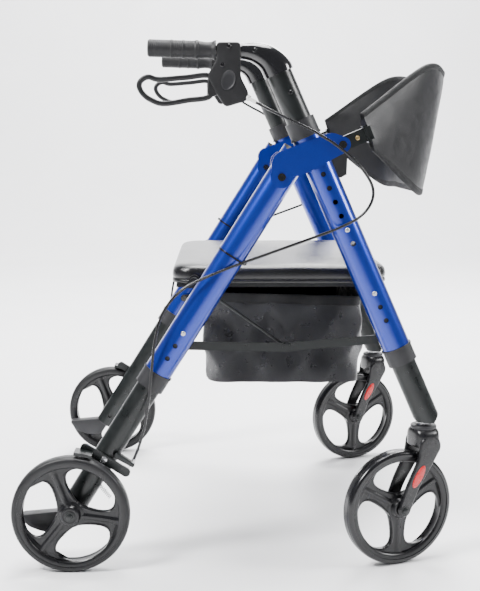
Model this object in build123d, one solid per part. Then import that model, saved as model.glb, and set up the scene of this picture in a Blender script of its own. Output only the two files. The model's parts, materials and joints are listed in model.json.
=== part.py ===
from build123d import *
import math
import os

# Four-wheeled folding walker with a seat, a bag, a backrest and loop brakes.
# Millimetres. +X is the walking direction, +Y is the user's left, +Z is up, and the floor is Z = 0.
# side = -1 is the user's right-hand side and side = +1 the left-hand side.

# ---------------------------------------------------------------- driving dimensions
leg_y = 311.0               # legs stand this far from the middle plane
rear_wheel_y = 355.0        # middle plane of each rear wheel
pivot_x = 68.0              # fold pivot, placed so that the origin is mid-length
pivot_z = 663.4
front_tilt = 23.9           # legs lean this much from the vertical, in degrees
rear_tilt = 32.13
axis_gap = 70.4             # fold pivot to front leg axis, measured level

wheel_r = 100.0
wheel_width = 28.0
tyre_depth = 9.0
caster_trail = 48.0
caster_turn = 21.0          # both front wheels stand turned this much to the left
axle_r = 5.0
hub_r = 17.0
rim_inner_r = 81.0
web_half = 5.0
spokes = 3
rear_spoke_angle = 111.0
front_spoke_angle = -90.0
cap_top_z = 241.0           # top of the fork's bearing cap
cap_high = 6.5
stem_r = 6.0
plug_bottom_z = 247.0       # underside of the plug in the front leg's end
fork_gap = 19.0             # half the gap between the fork's arms
fork_half = 27.0

leg_r = 24.0                # outer radius of every blue tube
leg_wall = 1.8
slider_r = 21.0             # outer radius of every tube that slides in a blue one
slider_wall = 2.0
slide_fit = 0.08            # radial clearance where a collar guides a sliding tube
running = 0.05              # radial clearance of every turning fit
soft_gap = 0.4              # space kept round soft and moving pieces

front_top = 74.0            # front leg top above the pivot's level, along the leg
front_leg_length = 390.0
hole_pitch = 25.0
hole_r = 4.3
handle_hole = 69.0          # first height hole, from the leg's top
handle_holes = 6
handle_button = 4           # index of the hole that holds the near handle's button
left_handle_raise = 25.0    # the left handle stands one hole higher
front_leg_hole = 285.0
rear_leg_hole = 306.5       # from the fold pivot
leg_holes = 3
rear_leg_length = 391.0
collar_length = 27.0
collar_wall = 2.2
rear_top = 50.0             # the rear leg's end and cap reach this far above the pivot
cap_depth = 12.0
cap_gap = 2.0               # end cap to front leg

front_extension_end = 511.0
rear_extension_past = 22.0  # rear extension reaches this far past the axle
extension_overlap = 30.0    # each extension reaches this far above its button

cheek_thick = 3.0
cheek_gap = 0.3             # cheek to tube
bolt_r = 4.0
head_r = 6.5
head_h = 3.2

seat_hinge_z = 455.0
rear_tube_z = 440.0
cross_tube_r = 12.0
seat_rear_x = -118.0
seat_front_x = 261.0
seat_half_width = 240.0
seat_top_z = 512.0
pad_bottom_z = 474.0
pan_thick = 6.0

link_front_z = 384.0
link_rear_z = 373.0
link_share = 0.517          # where the middle rivet sits between the two end pivots
link_drop = 10.0            # the rivet hangs this far under the line of the end pivots
link_width = 15.0
link_thick = 3.0
rear_link_y = 277.5         # middle planes of the side bars
front_link_y = 273.9
rod_y = 266.6
rod_r = 2.6
lug_x = -78.0               # lift rod's pivot on the seat
lug_z = 482.0

bag_half_width = 232.0
bag_top_z = 447.0
bag_bottom_z = 290.0
bag_wall = 3.0
bag_taper = 10.0
bag_tabs = (-92, 0, 92)

arm_pivot_x = 99.3          # backrest pivot from the fold pivot
arm_pivot_z = 52.6
arm_tilt = 22.5
arm_length = 54.0
arm_high = 23.0
arm_wide = 20.0
pad_thick = 13.0
arm_button_at = 28.0        # the arm's button from the arm's pivot
arm_button_r = 3.5

button_r = 4.0
button_out = 2.6            # a snap button stands this far out of its hole
leaf_at = 14.0              # the button's leaf spring from the tube's axis

post_top = 109.0            # the post's top above the leg's top, along the leg
post_bottom = 195.0
lowest_handle = 50.0        # the post's slot lets the handle come down this far
bar_r = 11.0
bar_wall = 2.0
bar_length = 150.0
bar_rise = 1.8              # the handle bar climbs this much towards its rear end, in degrees
grip_r = 14.3
grip_front = 41.0
grip_collar_r = 16.0
housing_half = 15.0
housing_top = 13.5
lever_half = 6.5
lever_bar_r = 4.5
lever_pin_r = 3.0
barrel_r = 4.6
barrel_length = 24.0

# elbow from the post's top to the bar: offset back and up from the post's top, radius, heading in degrees
elbow_sections = [
    (0.0, 0.0, 24.5, 90 + front_tilt),
    (-10.3, 17.3, 23.5, 130.0),
    (-26.3, 28.8, 20.0, 155.0),
    (-44.3, 34.3, 15.5, 170.0),
    (-62.3, 36.1, 13.3, 180 - bar_rise),
]
# the rest of the handle is placed from the bar's front end, (x, z)
lever_pivot = (-30.5, -22.8)
lever_line = [(-50, -40), (-134, -46), (-152, -41), (-164, -49), (-166, -57), (-160, -68), (-148, -78),
              (-127, -85), (-50, -72), (-50, -40)]
housing_corners = [(-40, housing_top), (-0.8, housing_top), (-0.8, -42), (12, -66), (11, -79), (-26, -90),
                   (-42, -66), (-55, -39), (-40, -15)]
barrel_start = (6.0, 8.0, -72.0)
barrel_heading = (0.78, 0.42, -0.47)

# rear brake, placed along the rear leg from the fold pivot and forwards of its axis
rocker_t = 561.0
rocker_rear = -38.0
rocker_front = 43.0
rocker_half = 7.5
rocker_thick = 5.0
shoe_gap = 3.5
shoe_thick = 5.0
shoe_half_angle = 8.0
stop_t = 545.0
stop_forward = 45.0

# brake cable of the right side, (x, distance from the middle plane, z), after its barrel and before its stop
cable_r = 2.4
tie_half = 1.6
cable_points = [(76, 349, 758), (118, 354, 738), (160, 355, 713), (199, 355, 678), (221, 353, 640),
                (205, 350, 603), (162, 347, 580), (112, 344, 562), (60, 342, 543), (18, 340.5, 528), (-12, 339, 517),
                (-52, 338.5, 501), (-98, 338, 480), (-131, 338.5, 440), (-144, 340.5, 385), (-149, 341, 330),
                (-154, 341, 286), (-161, 339, 246)]
tied_run = 9                # the cable is strapped to the leg between this point and the next

os.makedirs("parts", exist_ok=True)

# ---------------------------------------------------------------- places worked out from them
front_lean = math.radians(front_tilt)
rear_lean = math.radians(rear_tilt)
handle_button_t = handle_hole + handle_button * hole_pitch
rear_axle_t = (pivot_z - wheel_r) / math.cos(rear_lean)
rear_axle_x = pivot_x - rear_axle_t * math.sin(rear_lean)
rear_extension_end = rear_axle_t + rear_extension_past
slot_r = hole_r + 0.3


def front_axis_x(z):
    """X of the front leg's axis at height z."""
    return pivot_x + axis_gap + (pivot_z - z) * math.tan(front_lean)


def rear_axis_x(z):
    """X of the rear leg's axis at height z."""
    return pivot_x - (pivot_z - z) * math.tan(rear_lean)


front_top_z = pivot_z + front_top * math.cos(front_lean)
front_top_x = front_axis_x(front_top_z)
stem_base_z = front_top_z - front_extension_end * math.cos(front_lean)
stem_x = front_axis_x(stem_base_z)
hinge_x = front_axis_x(seat_hinge_z)
rear_tube_x = rear_axis_x(rear_tube_z)
link_front_x = front_axis_x(link_front_z)
link_rear_x = rear_axis_x(link_rear_z)
link_mid_x = link_rear_x + link_share * (link_front_x - link_rear_x)
link_mid_z = link_rear_z + link_share * (link_front_z - link_rear_z) - link_drop
arm_x = pivot_x + arm_pivot_x
arm_z = pivot_z + arm_pivot_z
cheek_inner = leg_r + cheek_gap
cheek_outer = cheek_inner + cheek_thick
post_top_z = front_top_z + post_top * math.cos(front_lean)
post_top_x = front_axis_x(post_top_z)
bar_x = post_top_x + elbow_sections[-1][0]
bar_z = post_top_z + elbow_sections[-1][1]


# ---------------------------------------------------------------- helpers
def front_leg_frame(side):
    """Frame at the front leg's top: local z runs down the leg, local x points outwards."""
    down = (math.sin(front_lean), 0, -math.cos(front_lean))
    return Plane(origin=(front_top_x, side * leg_y, front_top_z), x_dir=(0, side, 0), z_dir=down)


def rear_leg_frame(side):
    """Frame at the fold pivot: local z runs down the rear leg, local x points outwards."""
    down = (-math.sin(rear_lean), 0, -math.cos(rear_lean))
    return Plane(origin=(pivot_x, side * leg_y, pivot_z), x_dir=(0, side, 0), z_dir=down)


def bar(radius, start, end):
    """Round bar between two heights of its own z axis."""
    return Pos(0, 0, start) * Cylinder(radius, end - start, align=(Align.CENTER, Align.CENTER, Align.MIN))


def pipe(radius, bore, start, end):
    """Round tube between two heights of its own z axis."""
    return bar(radius, start, end) - bar(bore, start - 1, end + 1)


def peg(radius, t, start, end):
    """Round bar along local x at height t."""
    return Pos(0, 0, t) * Rot(0, 90, 0) * bar(radius, start, end)


def cross(radius, x, z, start, end):
    """Round bar along Y between two Y values."""
    low = min(start, end)
    return Pos(x, low, z) * Rot(-90, 0, 0) * bar(radius, 0, abs(end - start))


def slab(outline, start, end):
    """Side outline drawn in (x, z), given thickness between two Y values."""
    low = min(start, end)
    face = Pos(0, low, 0) * (Plane.XZ * outline)
    return extrude(face, amount=abs(end - start), dir=(0, 1, 0))


def discs_hull(*discs):
    """Outline round a set of discs, each (x, z, radius)."""
    edges = []
    for x, z, radius in discs:
        edges += (Pos(x, z) * Circle(radius)).edges()
    return make_hull(edges)


def chain(*discs):
    """Outline that follows a row of discs from one to the next."""
    outline = discs_hull(*discs[0:2])
    for number in range(1, len(discs) - 1):
        outline = outline + discs_hull(*discs[number:number + 2])
    return outline


def outline_of(points, rounding):
    """Closed outline through corner points, with every corner rounded."""
    face = Polygon(*points, align=None)
    return fillet(face.vertices(), rounding)


def save(name, *solids):
    """Write the solids of one named piece as a single STEP file."""
    flat = []
    for piece in solids:
        flat += piece.solids()
    shape = flat[0] if len(flat) == 1 else Compound(children=flat)
    shape.label = name
    export_step(shape, f"parts/{name}.step")


def hand(side):
    """Name of a side."""
    return "right" if side < 0 else "left"


def bolt(x, z, radius, start, end, side):
    """Bolt along Y with a round head outside and a nut inside; start and end are distances from mid-plane."""
    shaft = cross(radius, x, z, side * (start - head_h), side * (end + 1))
    head = cross(head_r, x, z, side * end, side * (end + head_h))
    socket = cross(radius * 0.55, x, z, side * (end + 1.2), side * (end + head_h + 1))
    nut_face = Pos(x, z) * RegularPolygon(head_r, 6)
    nut = slab(nut_face, side * (start - head_h * 1.4), side * start)
    return (shaft + head + nut) - socket


# ---------------------------------------------------------------- blue tubes
def leg_tube(start, end, first_holes):
    """Blue tube with rows of height holes through its outer wall; each row is (first, count)."""
    tube = pipe(leg_r, leg_r - leg_wall, start, end)
    for first, count in first_holes:
        for number in range(count):
            tube -= peg(hole_r, first + number * hole_pitch, slider_r - 4, leg_r + 2)
    return tube


def ahead_of_rear_leg(side, clearance):
    """Space in front of an oblique plane that is parallel to the front leg and this far behind it."""
    block = Box(200, 120, 400, align=(Align.MIN, Align.CENTER, Align.CENTER))
    edge_x = pivot_x + axis_gap - (leg_r + clearance) / math.cos(front_lean)
    return Pos(edge_x, side * leg_y, pivot_z) * Rot(0, -front_tilt, 0) * block


def front_leg(side):
    """Front leg with holes for the handle's height and for the leg's own length."""
    rows = [(handle_hole, handle_holes), (front_leg_hole, leg_holes)]
    return front_leg_frame(side) * leg_tube(0, front_leg_length, rows)


def rear_leg(side):
    """Rear leg, bored for the fold pivot and cut obliquely behind the front leg."""
    tube = rear_leg_frame(side) * leg_tube(-rear_top, rear_leg_length, [(rear_leg_hole, leg_holes)])
    tube -= cross(bolt_r + running, pivot_x, pivot_z, side * (leg_y - 40), side * (leg_y + 40))
    return tube - ahead_of_rear_leg(side, cap_gap + cap_depth)


def rear_cap(side):
    """Plastic cap on the oblique end of the rear leg."""
    blank = rear_leg_frame(side) * bar(leg_r, -rear_top, 60)
    return (blank - ahead_of_rear_leg(side, cap_gap)) & ahead_of_rear_leg(side, cap_gap + cap_depth)


def leg_collar(t, towards):
    """Collar past the leg's end at t; it guides the sliding tube and laps over the blue one."""
    outer = leg_r + collar_wall / 2
    far = t + towards * collar_length
    lap = t - towards * 3
    ring = pipe(outer, slider_r + slide_fit, min(t, far), max(t, far))
    skirt = pipe(outer + collar_wall / 2, leg_r, min(t, lap), max(t, lap))
    return ring + skirt


# ---------------------------------------------------------------- front frame
def gusset(side, inward):
    """One cheek: two lobes and a straight back; a saddle pad seats it on the front leg."""
    shape = discs_hull((pivot_x, pivot_z, 18), (pivot_x + 4, pivot_z + 22, 20.5))
    shape += discs_hull((pivot_x + 4, pivot_z + 22, 20.5), (pivot_x + 28, pivot_z + 20, 18),
                        (arm_x - 19, arm_z - 1, 20), (arm_x, arm_z, 13))
    facing = side * (-1 if inward else 1)
    middle = side * leg_y
    cheek = slab(shape, middle + facing * cheek_inner, middle + facing * cheek_outer)
    pad_x = front_axis_x(pivot_z + 34)
    pad = slab(Pos(pad_x, pivot_z + 34) * Rot(0, 0, 90 + front_tilt) * Rectangle(40, 22),
               middle + facing * (leg_r - 5), middle + facing * (cheek_inner + 1))
    cheek += pad - front_leg_frame(side) * bar(leg_r, -10, 100)
    for x, z in ((pivot_x, pivot_z), (arm_x, arm_z)):
        cheek -= cross(bolt_r, x, z, middle + facing * leg_r, middle + facing * (cheek_outer + 1))
    return cheek


def backrest_stop(side):
    """Wedge on the front of the leg that the lowered backrest arm rests above."""
    wedge = slab(Polygon((arm_x - 40, arm_z - 15), (arm_x + 10, arm_z - 15), (arm_x + 9, arm_z - 49),
                         (arm_x, arm_z - 54), (arm_x - 30, arm_z - 54), align=None),
                 side * leg_y - 9, side * leg_y + 9)
    return wedge - front_leg_frame(side) * bar(leg_r, 0, 150)


def link_stud(side, x, z, frame, link_y):
    """Stud welded to a leg's inner side that carries a link between its shoulder and its head."""
    face = link_thick / 2 + soft_gap
    shaft = cross(bolt_r, x, z, side * (leg_y - 10), side * (link_y - face))
    shoulder = cross(bolt_r + 2.5, x, z, side * (leg_y - 10), side * (link_y + face))
    head = cross(head_r, x, z, side * (link_y - face), side * (link_y - face - head_h * 0.8))
    return (shaft + shoulder + head) - frame * bar(leg_r, 200, 450)


def cross_tube(x, z, frame_of):
    """Tube across the walker, coped to the legs at both ends."""
    tube = cross(cross_tube_r, x, z, -leg_y, leg_y) - cross(cross_tube_r - 1.6, x, z, -leg_y, leg_y)
    for side in (-1, 1):
        tube -= frame_of(side) * bar(leg_r, 100, 380)
    return tube.solids().sort_by(SortBy.VOLUME)[-1]


def bag():
    """Open-topped bag that hangs between the cross tubes on tabs."""
    rear = rear_tube_x + cross_tube_r + 4
    front = hinge_x - cross_tube_r - 3

    def block(inset, low, high):
        middle = (rear + front) / 2
        shrink = bag_taper + inset
        lower = Pos(middle, 0, low) * Rectangle(front - rear - 2 * shrink, 2 * (bag_half_width - shrink))
        upper = Pos(middle, 0, high) * Rectangle(front - rear - 2 * inset, 2 * (bag_half_width - inset))
        return loft([lower, upper], ruled=True)

    shell = block(0, bag_bottom_z, bag_top_z) - block(bag_wall, bag_bottom_z + bag_wall, bag_top_z + 0.01)
    for y in bag_tabs:
        for wall, x, z in ((front, hinge_x, seat_hinge_z), (rear, rear_tube_x, rear_tube_z)):
            inward = 1 if wall == rear else -1
            loop = discs_hull((x, z, cross_tube_r + 2.4), (x + inward * 12, z + 6, 3),
                              (wall + inward * 2, bag_top_z - 16, 1.5))
            tab = Pos(0, y, 0) * slab(loop, -14, 14)
            shell += tab - cross(cross_tube_r + soft_gap, x, z, -300, 300)
    above = Box(900, 400, 40, align=(Align.CENTER, Align.CENTER, Align.MIN))
    return shell - Pos(0, 0, pad_bottom_z - pan_thick - soft_gap) * above


# ---------------------------------------------------------------- seat and fold linkage
def seat_pad():
    """Padded seat with rounded corners and shoulders."""
    length = seat_front_x - seat_rear_x
    block = Pos((seat_front_x + seat_rear_x) / 2, 0, pad_bottom_z) * Box(
        length, 2 * seat_half_width, seat_top_z - pad_bottom_z, align=(Align.CENTER, Align.CENTER, Align.MIN))
    block = fillet(block.edges().filter_by(Axis.Z), 34)
    return fillet(block.faces().sort_by(Axis.Z)[-1].edges(), 12)


def seat_pan():
    """Board under the pad, with saddles on the front cross tube, feet on the rear one and a lug each side."""
    inset = 8.0
    low = pad_bottom_z - pan_thick
    pan = Pos((seat_front_x + seat_rear_x) / 2, 0, low) * Box(
        seat_front_x - seat_rear_x - 2 * inset, 2 * (seat_half_width - inset), pan_thick,
        align=(Align.CENTER, Align.CENTER, Align.MIN))
    for y in (-165, 165):
        outline = discs_hull((hinge_x, seat_hinge_z, cross_tube_r + 4), (hinge_x - 16, low + 2, 2),
                             (hinge_x + 16, low + 2, 2))
        saddle = Pos(0, y, 0) * slab(outline, -17, 17)
        pan += saddle - cross(cross_tube_r + running, hinge_x, seat_hinge_z, -300, 300)
        foot = Pos(rear_tube_x + 2, y, low + 1) * Box(24, 26, low + 1 - rear_tube_z - cross_tube_r - soft_gap,
                                                      align=(Align.CENTER, Align.CENTER, Align.MAX))
        pan += foot
    for side in (-1, 1):
        lug = slab(discs_hull((lug_x, lug_z, 9), (lug_x - 12, low + 2, 2), (lug_x + 12, low + 2, 2)),
                   side * (seat_half_width + 1.5), side * (seat_half_width + 6.5))
        block = Box(28, 21, pan_thick - 0.5, align=(Align.CENTER, Align.CENTER, Align.MIN))
        foot = Pos(lug_x, side * (seat_half_width - 4), low) * block
        eye_face = rod_y + rod_r + 0.3 + soft_gap
        pin = cross(bolt_r, lug_x, lug_z, side * (seat_half_width + 2), side * eye_face)
        head = cross(head_r, lug_x, lug_z, side * eye_face, side * (eye_face + 2))
        pan += lug + foot + pin + head
    return pan


def flat_bar(side, start, end, middle, bores):
    """Flat bar with round ends between two points, bored at the listed ones."""
    half = link_width / 2
    piece = slab(discs_hull((*start, half), (*end, half)), side * (middle - link_thick / 2),
                 side * (middle + link_thick / 2))
    for x, z in bores:
        piece -= cross(bolt_r + running, x, z, side * (middle - 5), side * (middle + 5))
    return piece


def front_link(side):
    """Front side bar with its half of the middle rivet on the inboard face."""
    piece = flat_bar(side, (link_front_x, link_front_z), (link_mid_x, link_mid_z), front_link_y,
                     [(link_front_x, link_front_z)])
    inner = front_link_y - link_thick / 2
    return piece + cross(head_r, link_mid_x, link_mid_z, side * inner, side * (inner - 2))


def rear_link(side):
    """Rear side bar with its half of the middle rivet on the outboard face."""
    piece = flat_bar(side, (link_rear_x, link_rear_z), (link_mid_x, link_mid_z), rear_link_y,
                     [(link_rear_x, link_rear_z)])
    outer = rear_link_y + link_thick / 2
    return piece + cross(head_r, link_mid_x, link_mid_z, side * outer, side * (outer + 2))


def lift_rod(side):
    """Round rod from the seat's lug down to the middle rivet, with an eye at each end."""
    middle = side * rod_y
    start = Vector(lug_x, middle, lug_z)
    end = Vector(link_mid_x, middle, link_mid_z)
    rod = Plane(origin=start, z_dir=end - start) * bar(rod_r, 0, (end - start).length)
    for x, z in ((lug_x, lug_z), (link_mid_x, link_mid_z)):
        rod += cross(bolt_r + 3.5, x, z, middle - rod_r - 0.3, middle + rod_r + 0.3)
    return rod - cross(bolt_r + running, lug_x, lug_z, middle - 5, middle + 5)


# ---------------------------------------------------------------- backrest
arm_lean = math.radians(arm_tilt)
arm_end_x = arm_x + arm_length * math.cos(arm_lean)
arm_end_z = arm_z + arm_length * math.sin(arm_lean)


def backrest_arm(side):
    """Flat-sided tube arm with a round hinge end and a ring where the padded band starts."""
    middle = side * leg_y
    reach = arm_length / 2
    turned = Pos(arm_x, middle, arm_z) * Rot(0, -arm_tilt, 0)
    core = turned * Pos(reach, 0, 0) * Box(arm_length, arm_wide, arm_high)
    end = cross(arm_high / 2, arm_x, arm_z, middle - arm_wide / 2, middle + arm_wide / 2)
    arm = core + end + arm_ring(side)
    arm -= cross(bolt_r + running, arm_x, arm_z, middle - 30, middle + 30)
    return arm - arm_button_hole(side)


def arm_ring(side):
    """Square ring at the arm's end."""
    place = Pos(arm_x, side * leg_y, arm_z) * Rot(0, -arm_tilt, 0) * Pos(arm_length - 9, 0, 0)
    return place * Box(5, arm_wide + 6, arm_high + 6)


def arm_button_hole(side):
    """Space for the arm's button."""
    x = arm_x + arm_button_at * math.cos(arm_lean)
    z = arm_z + arm_button_at * math.sin(arm_lean)
    return cross(arm_button_r + 0.2, x, z, side * (leg_y - 6), side * (leg_y + arm_wide))


def arm_button(side):
    """Button that frees the backrest."""
    x = arm_x + arm_button_at * math.cos(arm_lean)
    z = arm_z + arm_button_at * math.sin(arm_lean)
    pin = cross(arm_button_r, x, z, side * (leg_y - 1), side * (leg_y + arm_wide / 2 + 2.2))
    return fillet(pin.edges().sort_by(Axis.Y)[-1 if side > 0 else 0], 1.5)


def backrest_pad():
    """Padded band that bulges forwards; each station gives its lower and upper middle points and its facing."""
    front = -rear_axle_x + wheel_r - pad_thick / 2
    half = [
        ((arm_end_x + 3, leg_y - 4, arm_end_z - 30), (arm_end_x - 17, leg_y - 4, arm_end_z + 30), 52.0),
        ((front - 73, leg_y - 89, 634), (front - 60, leg_y - 89, 850), 38.0),
        ((front - 46, leg_y - 186, 627), (front - 9, leg_y - 186, 846), 13.0),
    ]
    stations = half + [((front - 37, 0, 625), (front, 0, 846), 0.0)]
    stations += [((b[0], -b[1], b[2]), (t[0], -t[1], t[2]), -facing) for b, t, facing in reversed(half)]
    faces = []
    for low, high, facing in stations:
        out = Vector(math.cos(math.radians(facing)), math.sin(math.radians(facing)), 0) * (pad_thick / 2)
        corners = [Vector(low) - out, Vector(low) + out, Vector(high) + out, Vector(high) - out]
        faces.append(make_face(Polyline(*corners, close=True)))
    band = loft(faces, ruled=True)
    for side in (-1, 1):
        band -= Pos(arm_x, side * leg_y, arm_z) * Rot(0, -arm_tilt, 0) * Pos(arm_length / 2, 0, 0) * Box(
            arm_length, arm_wide, arm_high)
        band -= arm_ring(side)
    return band.solids().sort_by(SortBy.VOLUME)[-1]


# ---------------------------------------------------------------- snap buttons
def snap_button(frame, t, leaf_towards):
    """Button head on a leaf spring inside the tubes."""
    pin = peg(button_r, t, leaf_at, leg_r + button_out)
    pin = fillet(pin.edges().sort_by(Axis.X)[-1], 2.0)
    leaf = Pos(leaf_at + 0.75, 0, t + leaf_towards * 20) * Box(1.5, 9, 48)
    return frame * (pin + leaf)


# ---------------------------------------------------------------- handles
def handle_move(side):
    """Shift along the leg of one handle from the right-hand one's height."""
    raised = left_handle_raise if side > 0 else 0.0
    return Pos(-raised * math.sin(front_lean), 0, raised * math.cos(front_lean))


def open_slot(t_start, t_end):
    """Slot cut in a sliding tube's outer side."""
    return Pos(slider_r, 0, (t_start + t_end) / 2) * Box(8, 2 * slot_r, t_end - t_start)


def handle_post(side):
    """Sliding tube of the handle, slotted for its button."""
    tube = pipe(slider_r, slider_r - slider_wall, -post_top, post_bottom)
    tube -= open_slot(handle_button_t - lowest_handle - slot_r, post_bottom + 1)
    return handle_move(side) * (front_leg_frame(side) * tube)


def bar_frame(side):
    """Frame at the bar's front end: local z runs along the bar to its rear end."""
    rise = math.radians(bar_rise)
    towards_rear = (-math.cos(rise), 0, math.sin(rise))
    return Plane(origin=(bar_x, side * leg_y, bar_z), x_dir=(0, 1, 0), z_dir=towards_rear)


def elbow(side):
    """Cast elbow that narrows from the post to the bar, with a spigot in the post, and the bar itself."""
    faces = []
    for back, up, radius, heading in elbow_sections:
        angle = math.radians(heading)
        place = Plane(origin=(post_top_x + back, side * leg_y, post_top_z + up), x_dir=(0, 1, 0),
                      z_dir=(math.cos(angle), 0, math.sin(angle)))
        faces.append(place * Circle(radius))
    casting = loft(faces)
    casting += front_leg_frame(side) * bar(slider_r - slider_wall, -post_top, -post_top + 24)
    tube = bar_frame(side) * pipe(bar_r, bar_r - bar_wall, 0, bar_length)
    return [handle_move(side) * casting, handle_move(side) * tube]


def grip(side):
    """Rubber grip with a raised collar at its front and a closed rear end."""
    body = bar(grip_r, grip_front, bar_length + 2) - bar(bar_r, 0, bar_length)
    body += pipe(grip_collar_r, bar_r, grip_front, grip_front + 6)
    return handle_move(side) * (bar_frame(side) * body)


def at_bar(points):
    """Points given from the bar's front end, in the model's (x, z)."""
    return [(bar_x + x, bar_z + z) for x, z in points]


def brake_housing(side):
    """Clamp and lever housing, its lever pin and the cable's barrel."""
    middle = side * leg_y
    shell = slab(outline_of(at_bar(housing_corners), 4), middle - housing_half, middle + housing_half)
    shell -= bar_frame(side) * bar(bar_r, -20, 80)
    pocket = Polygon(*at_bar([(-90, -13), (-17, -13), (-17, -82), (-90, -100)]), align=None)
    shell -= slab(pocket, middle - lever_half - soft_gap, middle + lever_half + soft_gap)
    pivot = at_bar([lever_pivot])[0]
    shell -= cross(lever_pin_r, *pivot, middle - 20, middle + 20)
    pin = cross(lever_pin_r, *pivot, middle - housing_half, middle + housing_half)
    shell -= barrel_place(side) * bar(barrel_r, -6, 30)
    barrel = barrel_place(side) * (bar(barrel_r, -6, 10) + bar(barrel_r - 1.4, 10, barrel_length))
    barrel -= barrel_place(side) * bar(cable_r + 0.3, barrel_length - 8, barrel_length + 1)
    move = handle_move(side)
    return [move * shell, move * pin, move * barrel]


def barrel_place(side):
    """Frame of the barrel: local z runs out of the housing along the cable."""
    x, out, z = barrel_start
    heading = (barrel_heading[0], side * barrel_heading[1], barrel_heading[2])
    return Plane(origin=(bar_x + x, side * (leg_y + out), bar_z + z), z_dir=heading)


def brake_lever(side):
    """Loop lever with its root plate and pivot bore."""
    middle = side * leg_y
    line = [(x, z, lever_bar_r) for x, z in at_bar(lever_line)]
    loop = chain(*line)
    corner = at_bar([(-50, -41), (-50, -71), lever_pivot, (-30, -60)])
    root = discs_hull((*corner[0], 4), (*corner[1], 4), (*corner[2], 8.5), (*corner[3], 6))
    lever = slab(loop + root, middle - lever_half, middle + lever_half)
    lever -= cross(lever_pin_r + running, *corner[2], middle - 20, middle + 20)
    return handle_move(side) * lever


# ---------------------------------------------------------------- leg extensions, casters and wheels
def extension_tube(start, end, button_t):
    """Sliding tube of a leg, slotted from its upper end down to its button."""
    tube = pipe(slider_r, slider_r - slider_wall, start, end)
    return tube - open_slot(start - 1, button_t + slot_r)


def front_extension(side):
    """Sliding tube, the end plug that turns from the leg's slant to the upright stem, the stem and its nut."""
    frame = front_leg_frame(side)
    tube = frame * extension_tube(front_leg_hole - extension_overlap, front_extension_end, front_leg_hole)
    middle = side * leg_y
    corners = [(-14, 0), (15, 0), (30, 22), (30, 60), (-30, 60), (-26, 16)]
    wedge = Polygon(*[(stem_x + x, plug_bottom_z + z) for x, z in corners], align=None)
    plug = frame * bar(slider_r, front_extension_end, front_extension_end + 50)
    plug &= slab(wedge, middle - slider_r - 1, middle + slider_r + 1)
    plug += frame * bar(slider_r - slider_wall, front_extension_end - 20, front_extension_end)
    stem = Pos(stem_x, middle, 0) * bar(stem_r, 208, plug_bottom_z + 22)
    plug -= Pos(stem_x, middle, 0) * bar(stem_r, 200, plug_bottom_z + 22)
    nut = Pos(stem_x, middle, cap_top_z + soft_gap) * extrude(
        RegularPolygon(9.5, 6), amount=plug_bottom_z - cap_top_z - soft_gap)
    return [tube, plug, stem + nut]


def fork_frame(side):
    """Frame on the floor under the stem: local x is the way the caster faces."""
    turn = math.radians(caster_turn)
    return Plane(origin=(stem_x, side * leg_y, 0), x_dir=(math.cos(turn), math.sin(turn), 0), z_dir=(0, 0, 1))


def fork(side):
    """Fork with crown and two curved arms, its bearing cap, and the axle bolt with its nut."""
    arm = chain((0, 212, 23), (-13, 178, 15.5), (-34, 138, 12), (-caster_trail, wheel_r, 11.5))
    body = slab(arm, -fork_half, -fork_gap) + slab(arm, fork_gap, fork_half)
    crown = discs_hull((0, 214, 23), (-1, 216, 22), (0, cap_top_z - 12, 21))
    body += slab(crown, -fork_half, fork_half) & bar(fork_half + 2, 180, cap_top_z - cap_high)
    body -= cross(wheel_r + 4, -caster_trail, wheel_r, -fork_gap, fork_gap)
    body -= bar(stem_r + running, 150, 300)
    body -= Pos(0, 0, 260) * Box(100, 100, 2 * (260 - (cap_top_z - cap_high)))
    body -= cross(axle_r, -caster_trail, wheel_r, -40, 40)
    cap = bar(22, cap_top_z - cap_high, cap_top_z) - bar(stem_r + running, 150, 300)
    axle = cross(axle_r, -caster_trail, wheel_r, -fork_half - 2, fork_half + 2)
    for end in (-1, 1):
        axle += cross(8, -caster_trail, wheel_r, end * fork_half, end * (fork_half + 4))
    return [fork_frame(side) * piece for piece in (body, cap, axle)]


def wheel_opening():
    """Rounded opening between two spokes, centred on local +x."""
    corner = rim_inner_r - 19
    spread = math.radians(28)
    x = corner * math.cos(spread)
    z = corner * math.sin(spread)
    return discs_hull((x, z, 17), (x, -z, 17), (rim_inner_r - 17, 0, 16), (hub_r + 17, 0, 10))


def wheel(inner, outer, spoke_angle):
    """Spoked wheel about the Y axis; its hub runs between two Y values."""
    web = Circle(rim_inner_r + 2)
    for number in range(spokes):
        angle = spoke_angle + (number + 0.5) * 360 / spokes
        web -= Rot(0, 0, angle) * wheel_opening()
    body = slab(web, -web_half, web_half)
    rim_half = wheel_width / 2 - 1.5
    body += cross(wheel_r - tyre_depth, 0, 0, -rim_half, rim_half) - cross(rim_inner_r, 0, 0, -20, 20)
    body += cross(hub_r, 0, 0, inner, outer)
    return body - cross(axle_r + running, 0, 0, inner - 10, outer + 10)


def tyre():
    """Solid tyre with a rounded tread, about the Y axis."""
    depth = tyre_depth
    face = Pos(wheel_r - depth / 2, 0) * Rectangle(depth, wheel_width)
    face = fillet(face.vertices().group_by(Axis.X)[-1], depth * 0.85)
    return revolve(face, Axis.Y)


def leg_point(t, forward):
    """Point (x, z) at t down the rear leg and this far forwards of its axis."""
    x = pivot_x - t * math.sin(rear_lean) + forward * math.cos(rear_lean)
    z = pivot_z - t * math.cos(rear_lean) - forward * math.sin(rear_lean)
    return (x, z)


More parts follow.
